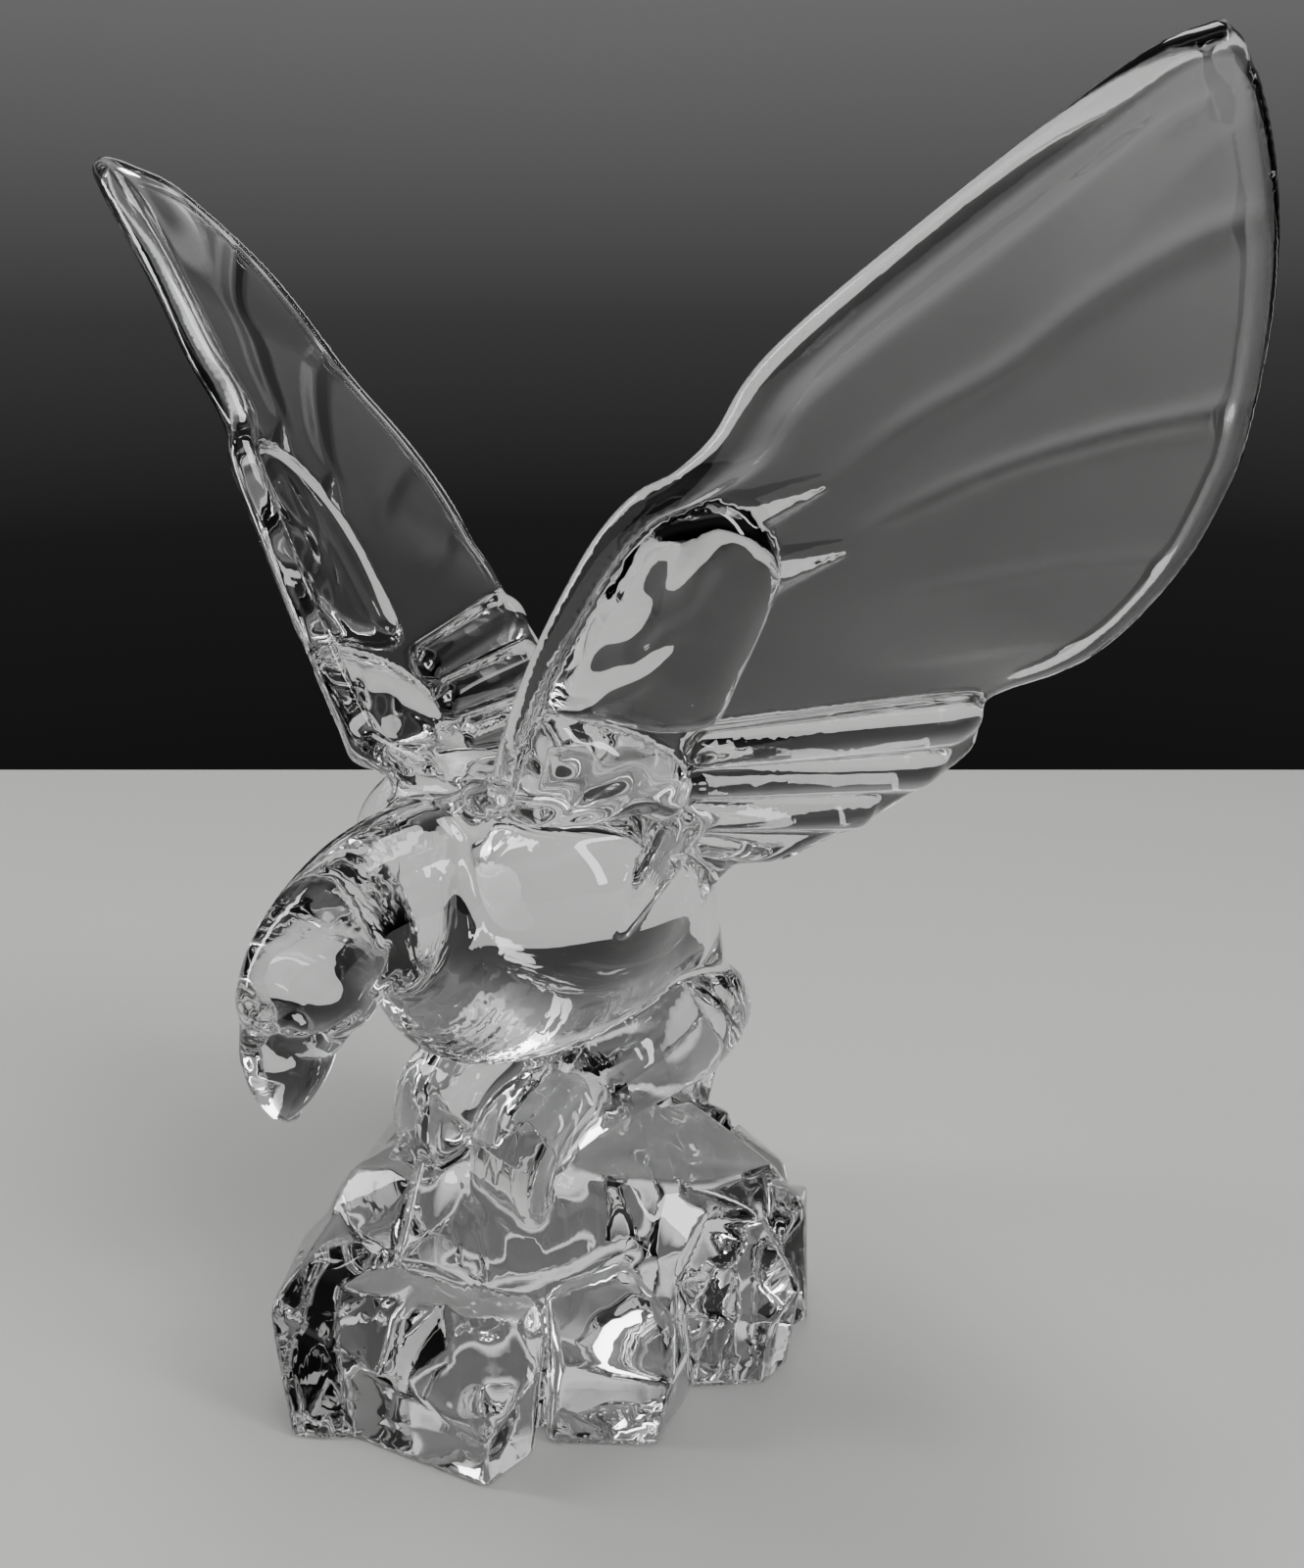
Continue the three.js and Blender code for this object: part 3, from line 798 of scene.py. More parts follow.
@dataclass
class WingSizes:
    """Sizes of a wing. Outlines are in hundredths of its length."""

    face: Row = (-0.685, 0.478, 0.549)
    blade_thickness: float = 3.2 * MM
    edge_thickness: float = 6.4 * MM
    edge_nose: float = 2.8 * MM
    edge_width: float = 6.0 * MM
    edge_bevel: float = 15.0 * MM
    bevel_rise: Row = (44.0, 56.0)
    tip_thinning: Row = (100.0, 88.0)
    edge_join: float = 1.0 * MM
    edge_groove: float = 0.3 * MM
    groove_gap: float = 1.0 * MM
    groove_width: float = 1.5 * MM
    groove_fall: Row = (54.0, 46.0)
    pad_thickness: float = 7.0 * MM
    lower_pad_thickness: float = 7.5 * MM
    pad_shoulder: float = 9.0 * MM
    pad_join: float = 1.0 * MM
    root: Row = (7, -12.5, 38.5)
    tip_back: float = -3.5
    quill_thickness: float = 9.0 * MM
    quill_join: float = 2.2 * MM
    root_fall: Row = (14.0, -4.0)
    rear_curl: float = 4.5 * MM
    curl_chord: float = 50.0
    curl_rise: Row = (0.0, 18.0)
    curl_fall: Row = (50.0, 34.0)
    tip_curl: float = 5.5 * MM
    tip_rise: Row = (74.0, 94.0)
    tip_spread: Row = (-1.0, 12.0)
    root_tuck: float = 9.0 * MM
    tuck_fall: Row = (8.0, 0.0)
    camber_length: float = 0.1668
    rim_bead: float = 0.4 * MM
    rim_inset: float = 1.8 * MM
    rim_width: float = 2.0 * MM
    rim_rise: Row = (38.0, 44.0)
    flute_depth: float = 0.55 * MM
    flute_width: float = 3.0 * MM
    flute_rise: Row = (0.0, 0.35)
    flute_fall: Row = (1.0, 0.9)
    spike_width: float = 4.2 * MM
    spike_point: float = 0.3 * MM
    spike_height: float = 1.5 * MM
    wave_length: float = 9.0
    wave_height: float = 0.5 * MM
    calm_rise: Row = (18.0, 22.0)
    calm_spread: Row = (3.0, 9.0)
    leading_edge: list[Row] = field(default_factory=lambda: [
        (-6, 2), (0, 0), (7, -1.2), (15, -3.6), (25, -6), (33, -7.2), (40, -7.8), (45, -7.2),
        (48.5, -5.4), (53, -4.8), (59, -6), (64, -6), (77, -4.2), (89, -2.4), (97, -0.8), (100, 1.4)])
    trailing_edge: list[Row] = field(default_factory=lambda: [
        (-6, 40), (-1, 39.6), (6.2, 42.5), (10.7, 47.5), (14.3, 51.9), (21.1, 55.6), (28.4, 57.6),
        (32.6, 54.9), (35.4, 51.9), (44.5, 54.6), (54, 55.2), (65, 51.6), (75, 44.4), (80, 39.6),
        (85, 34.4), (89, 29.6), (92.5, 24.4), (95.5, 18.6), (98, 12.8), (99.4, 8.2), (100, 4)])
    camber: list[Row] = field(default_factory=lambda: [
        (-6, -1.5), (0, 0), (7, 3), (25, 7), (40, 9.5), (54, 9.5), (66, 8.5), (77, 6.5), (89, 3.5),
        (100, 0)])
    flute_strengths: Row = (1.0, 1.0, 0.55, 0.4)
    flutes: list[list[Row]] = field(default_factory=lambda: [
        [(48, 4), (54, 7.5), (63, 9.4), (71, 12.2), (79, 13.5), (87, 17.2), (94, 22)],
        [(44, 12), (48, 15.5), (53.5, 16.2), (62.5, 21), (70, 26.4), (75, 31), (81, 38)],
        [(38, 19.5), (44.9, 24.5), (51.7, 32.4), (58.4, 41), (64.6, 51)],
        [(32.2, 22.2), (36.6, 30), (41.8, 39), (48.2, 46.8), (52.6, 54.6)]])
    upper_pad: list[Row] = field(default_factory=lambda: [
        (20.8, -2.2), (28, -3.9), (36, -4.8), (43, -4.4), (47.8, -1.6), (48, 5), (44.6, 10),
        (38.4, 13.4), (31, 15.8), (24.6, 17.2), (21.6, 12), (21, 5)])
    lower_pad: list[Row] = field(default_factory=lambda: [
        (3.6, 3.2), (8, 1), (14, -0.6), (19, -1.6), (19.4, 5), (18.8, 12), (16.8, 18), (13, 21.6),
        (9.6, 16), (6.4, 9)])
    spikes: list[list[Row]] = field(default_factory=lambda: [
        [(46.6, 3), (54.2, 7.8)], [(42.6, 10.6), (48.6, 15.6)]])
    quills: list[Quill] = field(default_factory=lambda: [
        Quill((18.8, 18.2), (33, 53), 3.9), Quill((14.5, 20.6), (24.6, 54.5), 3.7),
        Quill((10.1, 23.9), (15.9, 50.3), 2.9)])


@dataclass
class Rock:
    """The broken rock. Each block is the hull of its corners, in hundredths of the rock."""

    edge_rounding: float = 0.7 * MM
    crease_depth: float = 1.8 * MM
    crease_width: float = 3.0 * MM
    ridge_height: float = 1.3 * MM
    ridge_width: float = 6.0 * MM
    creases: list[list[Row]] = field(default_factory=lambda: [
        [(-7, -27, 50), (3.1, -25.6, 52), (13.5, -24.8, 50.5), (20.4, -16.4, 53), (25.9, -9.6, 59),
         (29.4, -3.5, 63)],
        [(3.5, -29, 51), (2.9, -34, 47), (6, -38.8, 36)]])
    ridges: list[list[Row]] = field(default_factory=lambda: [
        [(13.5, -24.8, 50), (21.9, -29.4, 36), (28.1, -34.4, 23)], [(3, -17.5, 84), (8, -22.6, 61)],
        [(9, -16, 83), (16.2, -17.2, 62)], [(19, -8, 84), (23, -11, 62)],
        [(24.3, 1.7, 85), (30.1, -3.1, 62)]])
    blocks: list[list[Row]] = field(default_factory=lambda: [
        [(-34, -22, 0), (4, -35, 0), (36, -18, 0), (42, 10, 0), (36, 34, 0), (8, 46, 0), (-30, 40, 0),
         (-42, 4, 0), (-30, -20, 24), (4, -30, 20), (33, -14, 24), (38, 10, 26), (32, 32, 26),
         (8, 43, 26), (-28, 37, 26), (-38, 4, 26)],
        [(-28, -16, 0), (0, -26, 0), (34, 0, 0), (28, 38, 0), (-30, 40, 0), (-36, 8, 0),
         (-3, -28, 56), (10, -22.5, 55), (23, -15, 54), (31, -4, 56), (36, 4, 60), (34, 16, 72),
         (3, -22, 76), (9, -16.5, 81), (19, -11, 80), (24, 0, 86),
         (-10, -15, 96), (11, -9, 97), (18, 8, 90), (8, 24, 84), (-14, 22, 84), (-20, 0, 88)],
        [(3, -43.6, 0), (18.5, -38.8, 0), (29.2, -35.9, 0), (30.2, -26.7, 0), (12, -10, 0), (-8, -20, 0),
         (-2.6, -41.4, 34), (8.9, -39, 29), (17.2, -37.2, 25), (28.4, -34.8, 22), (28.6, -28.4, 30),
         (28, -22.6, 33), (-8.2, -36.5, 51), (5.8, -30.4, 51), (12.8, -25.6, 51), (21.3, -21.3, 47),
         (-2, -14, 51), (16, -8, 49)],
        [(-4.2, -49.9, 0), (3.6, -44, 0), (-14, -45, 0), (-26, -33, 0), (-14, -16, 0), (4, -28, 0),
         (-9.9, -48, 21), (-3.1, -42, 33), (-14.2, -46.3, 47), (-15.2, -43.2, 52), (-14.7, -38.7, 59),
         (-17, -32.8, 62), (-8.2, -37, 51), (-25, -32, 52), (-22, -22, 64), (-8, -24, 58)],
        [(30.7, -23.8, 0), (45.3, -12.8, 0), (41.6, -0.1, 0), (22, 2, 0), (14, -14, 0),
         (30.2, -20, 32), (31.3, -15.4, 37), (38.8, -9, 38), (45.8, -9.4, 28), (44.6, -4, 30),
         (23.6, -16.7, 54), (31.2, -5.6, 58), (40.6, -3.6, 46), (18, -2, 62)],
        [(41.6, -0.1, 0), (51.2, 8.9, 0), (51.4, 15.1, 0), (38, 26, 0), (20, 14, 0),
         (39, 0.8, 36), (51, 11, 29.5), (52, 17.8, 39.5), (46.6, 17.6, 52), (39.2, 12.6, 58.4),
         (33.4, 7.2, 58.6), (24, 8, 74), (34, 22, 68)],
        [(43, 16, 0), (42, 32, 0), (20, 42, 0), (8, 20, 0), (30, 6, 0),
         (31.5, 9.3, 78), (27.3, 13.9, 82), (36, 20.4, 73), (36.4, 28, 71), (27.7, 30, 71),
         (12.4, 32, 74), (10, 16, 86), (41, 19, 60), (40, 30, 58)],
        [(44, 17, 0), (48, 26, 0), (38, 38, 0), (30, 24, 0),
         (45.6, 20, 50), (46.2, 26.4, 56), (44, 27, 63), (40, 26, 67), (40, 35, 52), (34, 22, 66)],
        [(-14, -31, 20), (-26, -28, 20), (-28, -8, 20), (-4, -10, 20), (-4, -28, 20),
         (-14.3, -31.1, 58), (-19, -30.9, 58), (-21.7, -28, 65), (-23.4, -22.6, 74), (-15, -20, 80),
         (-7, -25.5, 66), (-8, -20, 80), (-22, -12, 76)],
        [(-10, -18, 40), (-24, -16, 40), (-26, 6, 40), (-6, 0, 40),
         (-17.7, -18, 82), (-14.6, -16, 87), (-5, -15.6, 90), (-22, -6, 84), (-10, 0, 92), (-20, 6, 84)],
        [(-26, -34, 0), (-38, -20, 0), (-36, 0, 0), (-16, -14, 0),
         (-25, -31, 42), (-35, -18, 46), (-34, -4, 58), (-24, -14, 66)],
        [(-40, -18, 0), (-50, 6, 0), (-42, 24, 0), (-22, 8, 0),
         (-38, -14, 40), (-46, 4, 46), (-39, 18, 58), (-28, 4, 72), (-31, -6, 64)],
        [(-46, 16, 0), (-40, 34, 0), (-22, 46, 0), (-12, 20, 0),
         (-42, 18, 44), (-37, 31, 50), (-23, 41, 54), (-16, 24, 76), (-28, 16, 68)],
        [(-26, 44, 0), (-2, 50, 0), (18, 46, 0), (6, 20, 0), (-16, 24, 0),
         (-21, 42, 42), (-2, 47, 46), (14, 42, 56), (-2, 32, 74), (-14, 30, 70)],
        [(14, 48, 0), (34, 42, 0), (44, 30, 0), (20, 24, 0),
         (15, 44, 48), (31, 39, 50), (39, 31, 52), (22, 34, 66)]])

    def forms(self, scale: Scale) -> list[Form]:
        """Builds the blocks.

        Args:
            scale: the sculpture's scale.

        Returns:
            One form for each block.
        """
        return [Block(np.array([scale.rock(corner) for corner in corners]), self.edge_rounding)
                for corners in self.blocks]

    def carving(self, scale: Scale, points: np.ndarray) -> np.ndarray:
        """Depth of the creases between the facets, less the height of the ridges.

        Args:
            scale: the sculpture's scale.
            points: (n, 3) places.

        Returns:
            How deep the rock is carved at each place.
        """
        depth = np.zeros(len(points))
        for lines, amount, width in ((self.creases, self.crease_depth, self.crease_width),
                                     (self.ridges, -self.ridge_height, self.ridge_width)):
            for corners in lines:
                line = np.array([scale.rock(corner) for corner in corners])
                low, high = line.min(0) - width, line.max(0) + width
                near = np.flatnonzero(((points > low) & (points < high)).all(1))
                if len(near):
                    gap, _ = line_distance(points[near], line)
                    depth[near] += amount * np.clip(1.0 - gap / width, 0.0, 1.0)
        return depth


def rippled(name: str, scale: float, detail: float, strength: float, height: float) -> bpy.types.Material:
    """Makes a material whose surface ripples with a fine noise.

    Args:
        name: what the material is called.
        scale: how fine the ripple is.
        detail: how many finer ripples lie on it.
        strength: how much of the ripple shows.
        height: how high the ripple is, in metres.

    Returns:
        The material.
    """
    material = bpy.data.materials.new(name)
    material.use_nodes = True
    nodes, links = material.node_tree.nodes, material.node_tree.links
    place = nodes.new("ShaderNodeTexCoord")
    ripple = nodes.new("ShaderNodeTexNoise")
    ripple.inputs["Scale"].default_value = scale
    ripple.inputs["Detail"].default_value = detail
    bump = nodes.new("ShaderNodeBump")
    bump.inputs["Strength"].default_value = strength
    bump.inputs["Distance"].default_value = height
    links.new(place.outputs["Object"], ripple.inputs["Vector"])
    links.new(ripple.outputs["Fac"], bump.inputs["Height"])
    links.new(bump.outputs["Normal"], nodes["Principled BSDF"].inputs["Normal"])
    return material


@dataclass(frozen=True)
class CrystalFinish:
    """Polished lead crystal, with the faint ripple of a fire-polished casting."""

    colour: Row = (0.985, 0.992, 0.99)
    index: float = 1.56
    roughness: float = 0.0
    ripple_scale: float = 34.0
    ripple_detail: float = 1.0
    ripple_strength: float = 0.05
    ripple_height: float = 1.0 * MM

    def build(self) -> bpy.types.Material:
        """Makes the material.

        Returns:
            The see-through material with its ripple.
        """
        material = rippled("polished_crystal", self.ripple_scale, self.ripple_detail,
                           self.ripple_strength, self.ripple_height)
        shader = material.node_tree.nodes["Principled BSDF"]
        shader.inputs["Base Color"].default_value = (*self.colour, 1.0)
        shader.inputs["Roughness"].default_value = self.roughness
        shader.inputs["IOR"].default_value = self.index
        shader.inputs["Transmission Weight"].default_value = 1.0
        return material


@dataclass(frozen=True)
class PaperFinish:
    """Matt pale paper for the studio floor."""

    colour: Row = (0.60, 0.60, 0.59)
    roughness: float = 0.55
    grain_scale: float = 900.0
    grain_detail: float = 2.0
    grain_strength: float = 0.05
    grain_height: float = 0.1 * MM

    def build(self) -> bpy.types.Material:
        """Makes the material.

        Returns:
            The matt paper.
        """
        material = rippled("pale_paper", self.grain_scale, self.grain_detail,
                           self.grain_strength, self.grain_height)
        shader = material.node_tree.nodes["Principled BSDF"]
        shader.inputs["Base Color"].default_value = (*self.colour, 1.0)
        shader.inputs["Roughness"].default_value = self.roughness
        return material


@dataclass
class Casting:
    """The whole sculpture as one skin."""

    pitch: float = 1.15 * MM
    block: int = 6
    batch: int = 500
    rounds: int = 5
    most_faces: int = 190_000
    slope_reach: float = 0.3 * MM
    base_rounding: float = 0.4 * MM
    finish: CrystalFinish = field(default_factory=CrystalFinish)
    scale: Scale = field(default_factory=Scale)
    body: Body = field(default_factory=Body)
    legs: Legs = field(default_factory=Legs)
    tail: Tail = field(default_factory=Tail)
    wing: WingSizes = field(default_factory=WingSizes)
    rock: Rock = field(default_factory=Rock)

    def __post_init__(self) -> None:
        """Collects the fields of the bird and of the rock."""
        self.bird_group = Group(mirrored=True)
        for piece in (self.body, self.tail, self.legs):
            for form, join in piece.forms(self.scale):
                self.bird_group.add(form, join.value)
        self.bird_group.add(Wing(self.scale, self.wing), Join.FLOWING.value)
        self.rock_group = Group(mirrored=False)
        for form in self.rock.forms(self.scale):
            self.rock_group.add(form, Join.CREASE.value)

    def distance(self, points: np.ndarray) -> np.ndarray:
        """Signed distance of each point to the casting, negative inside."""
        bird = self.bird_group.distance(points)
        bird += self.body.carving(self.scale, points) + self.tail.carving(self.scale, points)
        rock = self.rock_group.distance(points) + self.rock.carving(self.scale, points)
        whole = smooth_min(bird, rock, Join.SOFT.value)
        return smooth_max(whole, -points[:, 2], self.base_rounding)

    def sample(self) -> tuple[np.ndarray, np.ndarray]:
        """Reads the field on a regular grid, closely only in the blocks near the surface.

        Returns:
            The lowest corner of the grid and the distances on it.
        """
        margin = 3.0 * self.pitch
        low = np.array(CAD_BOX[0]) - margin
        cube = self.block * self.pitch
        count = np.ceil((np.array(CAD_BOX[1]) + margin - low) / cube).astype(int)
        middles = np.stack(np.meshgrid(*[np.arange(n) for n in count], indexing="ij"), -1).reshape(-1, 3)
        coarse = self.distance(low + cube * (middles + 0.5)).reshape(count)
        values = coarse.repeat(self.block, 0).repeat(self.block, 1).repeat(self.block, 2)
        steps = np.stack(np.meshgrid(*[np.arange(self.block)] * 3, indexing="ij"), -1).reshape(-1, 3)
        near = np.argwhere(np.abs(coarse) < 1.5 * math.sqrt(0.75) * cube)
        for start in range(0, len(near), self.batch):
            cells = (near[start:start + self.batch, None] * self.block + steps).reshape(-1, 3)
            values[tuple(cells.T)] = self.distance(low + self.pitch * cells)
        return low, values

    def slope(self, points: np.ndarray) -> tuple[np.ndarray, np.ndarray]:
        """Distance and its steepest rise.

        Args:
            points: (n, 3) places.

        Returns:
            The distances and the gradients.
        """
        corners = np.array([[1, -1, -1], [-1, -1, 1], [-1, 1, -1], [1, 1, 1]], float)
        values = [self.distance(points + corner * self.slope_reach) for corner in corners]
        total = sum(value[:, None] * corner for value, corner in zip(values, corners))
        return self.distance(points), total / (4.0 * self.slope_reach)

    def lay(self, points: np.ndarray) -> np.ndarray:
        """Moves points onto the surface.

        Args:
            points: places near the surface.

        Returns:
            The nearest places on it, inside the fixed frame.
        """
        value, gradient = self.slope(points)
        square = np.maximum((gradient ** 2).sum(1), 0.25)
        step = np.clip(value / square, -0.7 * self.pitch, 0.7 * self.pitch)
        return np.clip(points - step[:, None] * gradient, np.array(CAD_BOX[0]), np.array(CAD_BOX[1]))

    def settle(self, points: np.ndarray, quads: np.ndarray) -> np.ndarray:
        """Evens a skin out along the surface.

        Args:
            points: the skin's points.
            quads: its faces.

        Returns:
            The settled points.
        """
        edges = np.vstack([quads[:, [i, (i + 1) % 4]] for i in range(4)])
        counts = np.bincount(edges[:, 0], minlength=len(points)).astype(float)
        counts += np.bincount(edges[:, 1], minlength=len(points))
        points = self.lay(points)
        for _ in range(self.rounds):
            total = np.zeros_like(points)
            for i in range(3):
                total[:, i] += np.bincount(edges[:, 0], points[edges[:, 1], i], len(points))
                total[:, i] += np.bincount(edges[:, 1], points[edges[:, 0], i], len(points))
            points = self.lay(points + 0.5 * (total / counts[:, None] - points))
        return points

    def normals(self, points: np.ndarray, edges: np.ndarray) -> np.ndarray:
        """Directions out of the glass, evened out a little between neighbours.

        Args:
            points: the skin's points.
            edges: pairs of neighbours.

        Returns:
            One direction for each point.
        """
        _, gradient = self.slope(points)
        own = gradient / np.maximum(np.linalg.norm(gradient, axis=1), 1e-9)[:, None]
        first, second = edges[:, 0], edges[:, 1]
        likeness = 0.5 * smooth_step(0.80, 0.97, (own[first] * own[second]).sum(1))[:, None]
        total = own.copy()
        np.add.at(total, first, likeness * own[second])
        np.add.at(total, second, likeness * own[first])
        return total / np.linalg.norm(total, axis=1)[:, None]

    def thin(self, piece: bpy.types.Object) -> bpy.types.Mesh:
        """Takes faces away where the skin is nearly flat.

        Args:
            piece: the object with the close skin.

        Returns:
            The lighter skin.
        """
        modifier = piece.modifiers.new("thin", "DECIMATE")
        modifier.ratio = min(1.0, self.most_faces / (2 * len(piece.data.polygons)))
        graph = bpy.context.evaluated_depsgraph_get()
        mesh = bpy.data.meshes.new_from_object(piece.evaluated_get(graph))
        piece.modifiers.clear()
        return mesh

    def build(self) -> bpy.types.Object:
        """Draws the skin, dresses it and puts it in the frame.

        Returns:
            The finished casting.
        """
        low, values = self.sample()
        points, quads = outer_skin(*surface_net(values, low, self.pitch))
        close = bpy.data.meshes.new("close_skin")
        close.from_pydata(self.settle(points, quads).tolist(), [], quads.tolist())
        piece = bpy.data.objects.new("crystal_eagle_cast", close)
        bpy.context.scene.collection.objects.link(piece)
        mesh = self.thin(piece)
        mesh.name = "crystal_eagle_cast"
        places = np.empty(3 * len(mesh.vertices))
        mesh.vertices.foreach_get("co", places)
        places = self.lay(places.reshape(-1, 3))
        mesh.vertices.foreach_set("co", places.ravel())
        edges = np.empty(2 * len(mesh.edges), np.int32)
        mesh.edges.foreach_get("vertices", edges)
        mesh.polygons.foreach_set("use_smooth", np.ones(len(mesh.polygons), bool))
        mesh.normals_split_custom_set_from_vertices(self.normals(places, edges.reshape(-1, 2)).tolist())
        mesh.materials.append(self.finish.build())
        piece.data = mesh
        bpy.data.meshes.remove(close)
        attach(piece, "root")
        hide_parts(NODE)
        return piece


def surface_net(values: np.ndarray, low: np.ndarray, pitch: float) -> tuple[np.ndarray, np.ndarray]:
    """A skin of four-sided faces where a field changes sign.

    Args:
        values: the field on a regular grid.
        low: the grid's lowest corner.
        pitch: the grid's step.

    Returns:
        The skin's points and its faces, turned outward.
    """
    inside = values < 0.0
    corners = [(i, j, k) for i in (0, 1) for j in (0, 1) for k in (0, 1)]
    nx, ny, nz = (size - 1 for size in values.shape)
    filled = sum(inside[i:i + nx, j:j + ny, k:k + nz].astype(np.int8) for i, j, k in corners)
    active = (filled > 0) & (filled < 8)
    cells = np.argwhere(active)
    number = np.full(active.shape, -1)
    number[active] = np.arange(len(cells))
    total, count = np.zeros((len(cells), 3)), np.zeros(len(cells))
    for start in corners:
        for axis in range(3):
            if start[axis]:
                continue
            end = tuple(value + (i == axis) for i, value in enumerate(start))
            a = values[tuple((cells + start).T)]
            b = values[tuple((cells + end).T)]
            cut = (a < 0.0) != (b < 0.0)
            share = a[cut] / (a[cut] - b[cut])
            total[cut] += np.array(start) + share[:, None] * (np.array(end) - start)
            count[cut] += 1
    points = low + pitch * (cells + total / count[:, None])
    quads = []
    for axis in range(3):
        one, two = (axis + 1) % 3, (axis + 2) % 3
        first = np.take(inside, range(inside.shape[axis] - 1), axis)
        second = np.take(inside, range(1, inside.shape[axis]), axis)
        places = np.argwhere(first != second)
        within = [(places[:, i] > 0) & (places[:, i] < inside.shape[i] - 1) for i in (one, two)]
        places = places[within[0] & within[1]]
        around = []
        for da, db in ((0, 0), (-1, 0), (-1, -1), (0, -1)):
            cell = places.copy()
            cell[:, one] += da
            cell[:, two] += db
            around.append(number[tuple(cell.T)])
        faces = np.stack(around, 1)
        leaves = first[tuple(places.T)]
        faces[~leaves] = faces[~leaves][:, ::-1]
        quads.append(faces)
    return points, np.vstack(quads)


def outer_skin(points: np.ndarray, quads: np.ndarray) -> tuple[np.ndarray, np.ndarray]:
    """The largest connected skin, without the small bubbles shut in between the blocks.

    Args:
        points: the skin's points.
        quads: its faces.

    Returns:
        The points and faces of that skin.
    """
    ends = np.sort(np.stack([quads, np.roll(quads, -1, 1)], -1), -1)
    _, edge = np.unique(ends[..., 0] * len(points) + ends[..., 1], return_inverse=True)
    edge = edge.reshape(-1, 4)
    label = np.arange(len(quads))
    settled = False
    while not settled:
        lowest = np.full(edge.max() + 1, len(quads))
        np.minimum.at(lowest, edge.ravel(), np.repeat(label, 4))
        spread = lowest[edge].min(1)
        spread = spread[spread]
        settled = bool((spread == label).all())
        label = spread
    kept = quads[label == np.bincount(label).argmax()]
    used, kept_again = np.unique(kept, return_inverse=True)
    return points[used], kept_again.reshape(-1, 4)


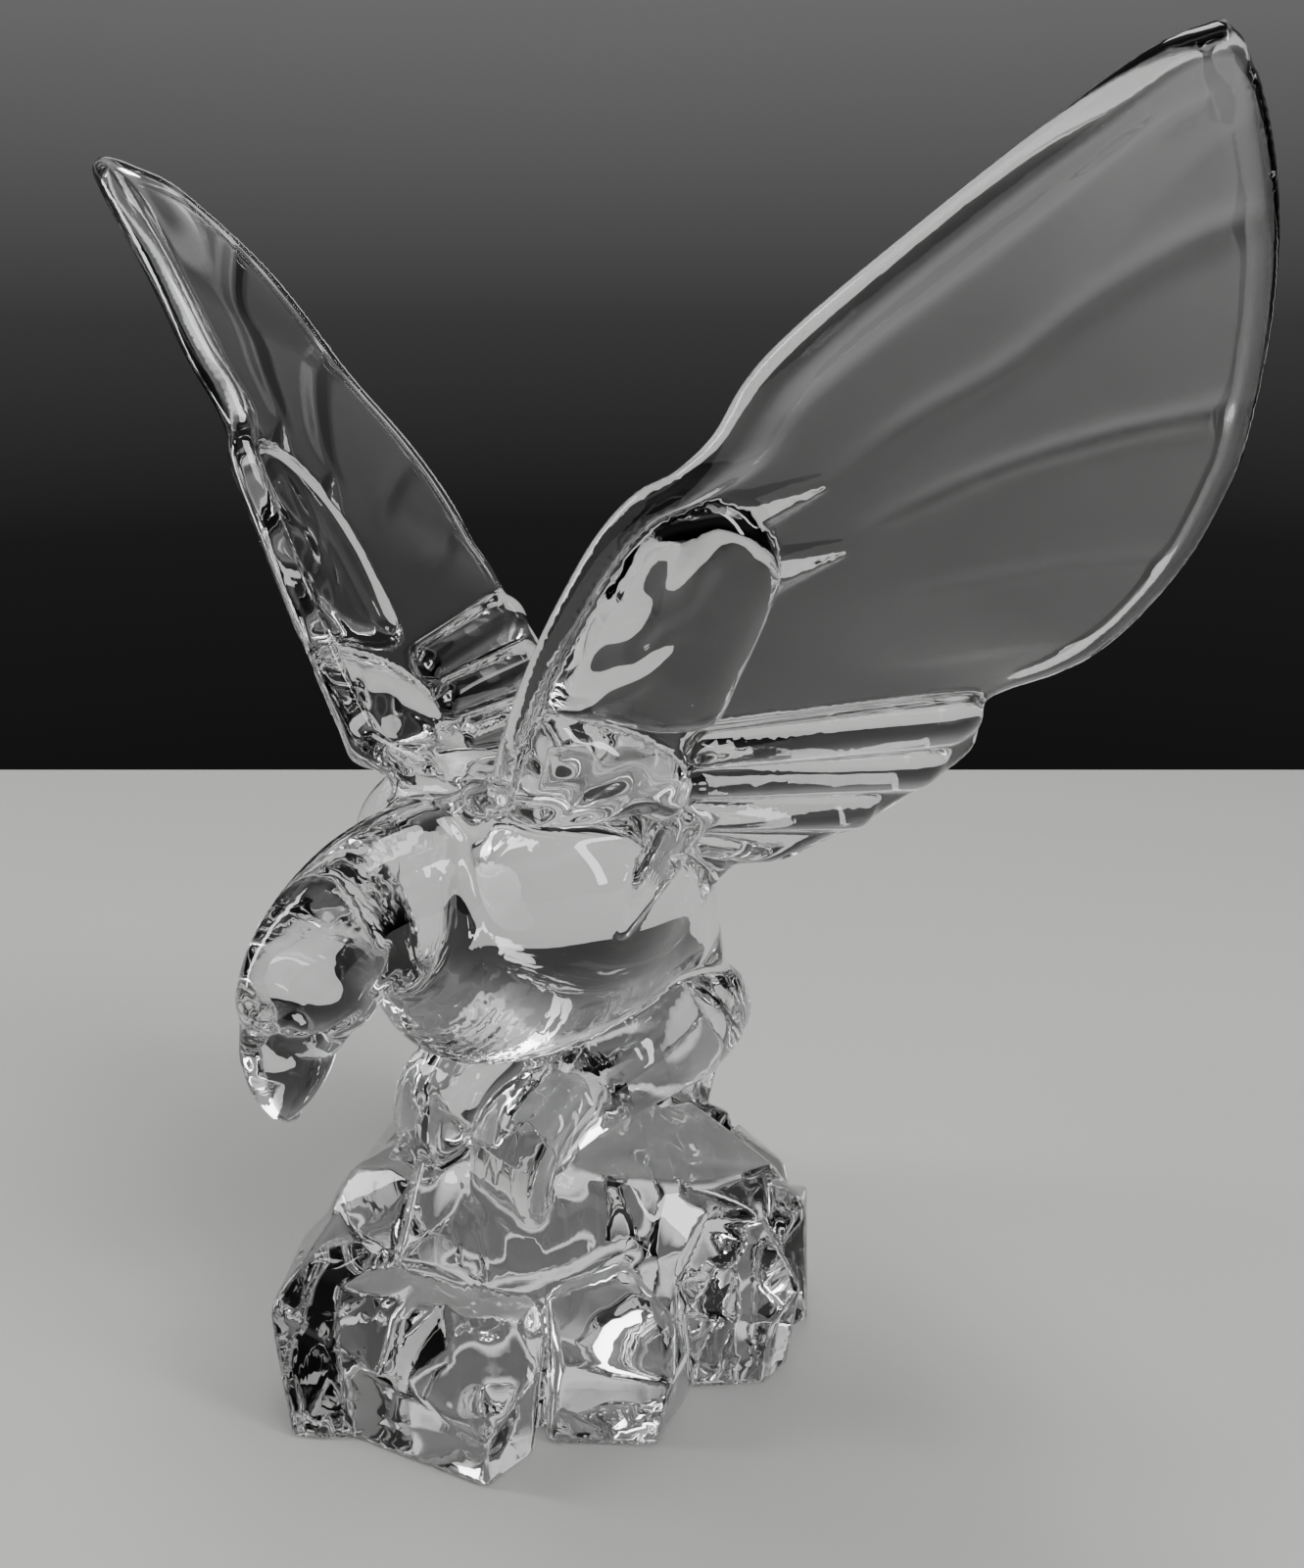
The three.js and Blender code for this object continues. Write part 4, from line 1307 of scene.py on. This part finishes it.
@dataclass
class Studio:
    """A plain pale floor, soft lights and the camera at the photograph's angle."""

    floor_side: float = 0.60
    floor_front: float = 0.50
    floor_back: float = 0.36
    floor_height: float = -0.05 * MM
    room_low: float = -0.40
    room_grey: list[Row] = field(default_factory=lambda: [
        (-0.34, 0.008), (-0.16, 0.014), (-0.02, 0.045), (0.10, 0.11), (0.20, 0.16), (0.42, 0.12),
        (0.50, 0.75), (0.60, 0.80), (0.68, 0.16), (0.85, 0.12), (1.00, 0.40)])
    camera_place: Row = (0.1865, -0.1724, 0.2215)
    heading: float = math.radians(40.9)
    pitch: float = math.radians(-20.5)
    lens: float = 30.375
    sensor: float = 36.0
    lamp_target: Row = (0.0, 0.0, 0.12)
    lamps: list[tuple[Lamp, Row, Row, float]] = field(default_factory=lambda: [
        (Lamp.TOP, (0.05, 0.15, 1.0), (0.6, 0.3), 5.0),
        (Lamp.LEFT, (-0.75, -0.45, 0.45), (0.12, 0.8), 4.0),
        (Lamp.RIGHT, (0.80, 0.30, 0.40), (0.10, 0.7), 3.5)])
    finish: PaperFinish = field(default_factory=PaperFinish)

    def build_floor(self) -> bpy.types.Object:
        """Makes the floor.

        Returns:
            The floor's object.
        """
        half, far, near = self.floor_side, self.floor_back, self.floor_front
        mesh = bpy.data.meshes.new("studio_floor")
        corners = [(-half, -near), (half, -near), (half, far), (-half, far)]
        mesh.from_pydata([(x, y, self.floor_height) for x, y in corners], [], [(0, 1, 2, 3)])
        mesh.materials.append(self.finish.build())
        floor = bpy.data.objects.new("studio_floor", mesh)
        floor.rotation_euler = (0.0, 0.0, self.heading)
        bpy.context.scene.collection.objects.link(floor)
        return floor

    def build_lamp(self, lamp: Lamp, place: Row, size: Row, power: float) -> None:
        """Hangs one soft light that faces the sculpture.

        Args:
            lamp: which light it is.
            place: where it hangs.
            size: its width and height.
            power: its power in watts.
        """
        data = bpy.data.lights.new(lamp.value, "AREA")
        data.shape = "RECTANGLE"
        data.size, data.size_y = size
        data.energy = power
        light = bpy.data.objects.new(lamp.value, data)
        light.location = place
        aim = Vector(self.lamp_target) - Vector(place)
        light.rotation_euler = aim.to_track_quat("-Z", "Y").to_euler()
        bpy.context.scene.collection.objects.link(light)

    def build_world(self) -> None:
        """Gives the room its quiet grey, lighter overhead."""
        world = bpy.data.worlds.new("studio_room")
        world.use_nodes = True
        bpy.context.scene.world = world
        nodes, links = world.node_tree.nodes, world.node_tree.links
        place = nodes.new("ShaderNodeTexCoord")
        split = nodes.new("ShaderNodeSeparateXYZ")
        ramp = nodes.new("ShaderNodeValToRGB")
        stops = ramp.color_ramp.elements
        for i, (height, grey) in enumerate(self.room_grey):
            share = (height - self.room_low) / (1.0 - self.room_low)
            stop = stops[i] if i < 2 else stops.new(share)
            stop.position = share
            stop.color = (grey, grey, grey, 1.0)
        spread = nodes.new("ShaderNodeMapRange")
        spread.inputs["From Min"].default_value = self.room_low
        links.new(place.outputs["Generated"], split.inputs["Vector"])
        links.new(split.outputs["Z"], spread.inputs["Value"])
        links.new(spread.outputs["Result"], ramp.inputs["Fac"])
        links.new(ramp.outputs["Color"], nodes["Background"].inputs["Color"])

    def build_camera(self) -> None:
        """Sets the camera up."""
        data = bpy.data.cameras.new("photo_camera")
        data.lens = self.lens
        data.sensor_width = self.sensor
        data.clip_start = 10.0 * MM
        camera = bpy.data.objects.new("photo_camera", data)
        camera.location = self.camera_place
        camera.rotation_euler = (math.pi / 2.0 + self.pitch, 0.0, self.heading)
        bpy.context.scene.collection.objects.link(camera)
        bpy.context.scene.camera = camera

    def build(self) -> None:
        """Sets the whole studio up."""
        self.build_floor()
        self.build_world()
        self.build_camera()
        for lamp, place, size, power in self.lamps:
            self.build_lamp(lamp, place, size, power)


def main() -> None:
    """Builds the casting and the studio."""
    logging.basicConfig(level=logging.INFO, format="%(message)s")
    piece = Casting().build()
    log.info("%s: %d points, %d faces", piece.name, len(piece.data.vertices), len(piece.data.polygons))
    Studio().build()
    log.info("studio: floor, lights and camera")


if __name__ == "__main__":
    main()
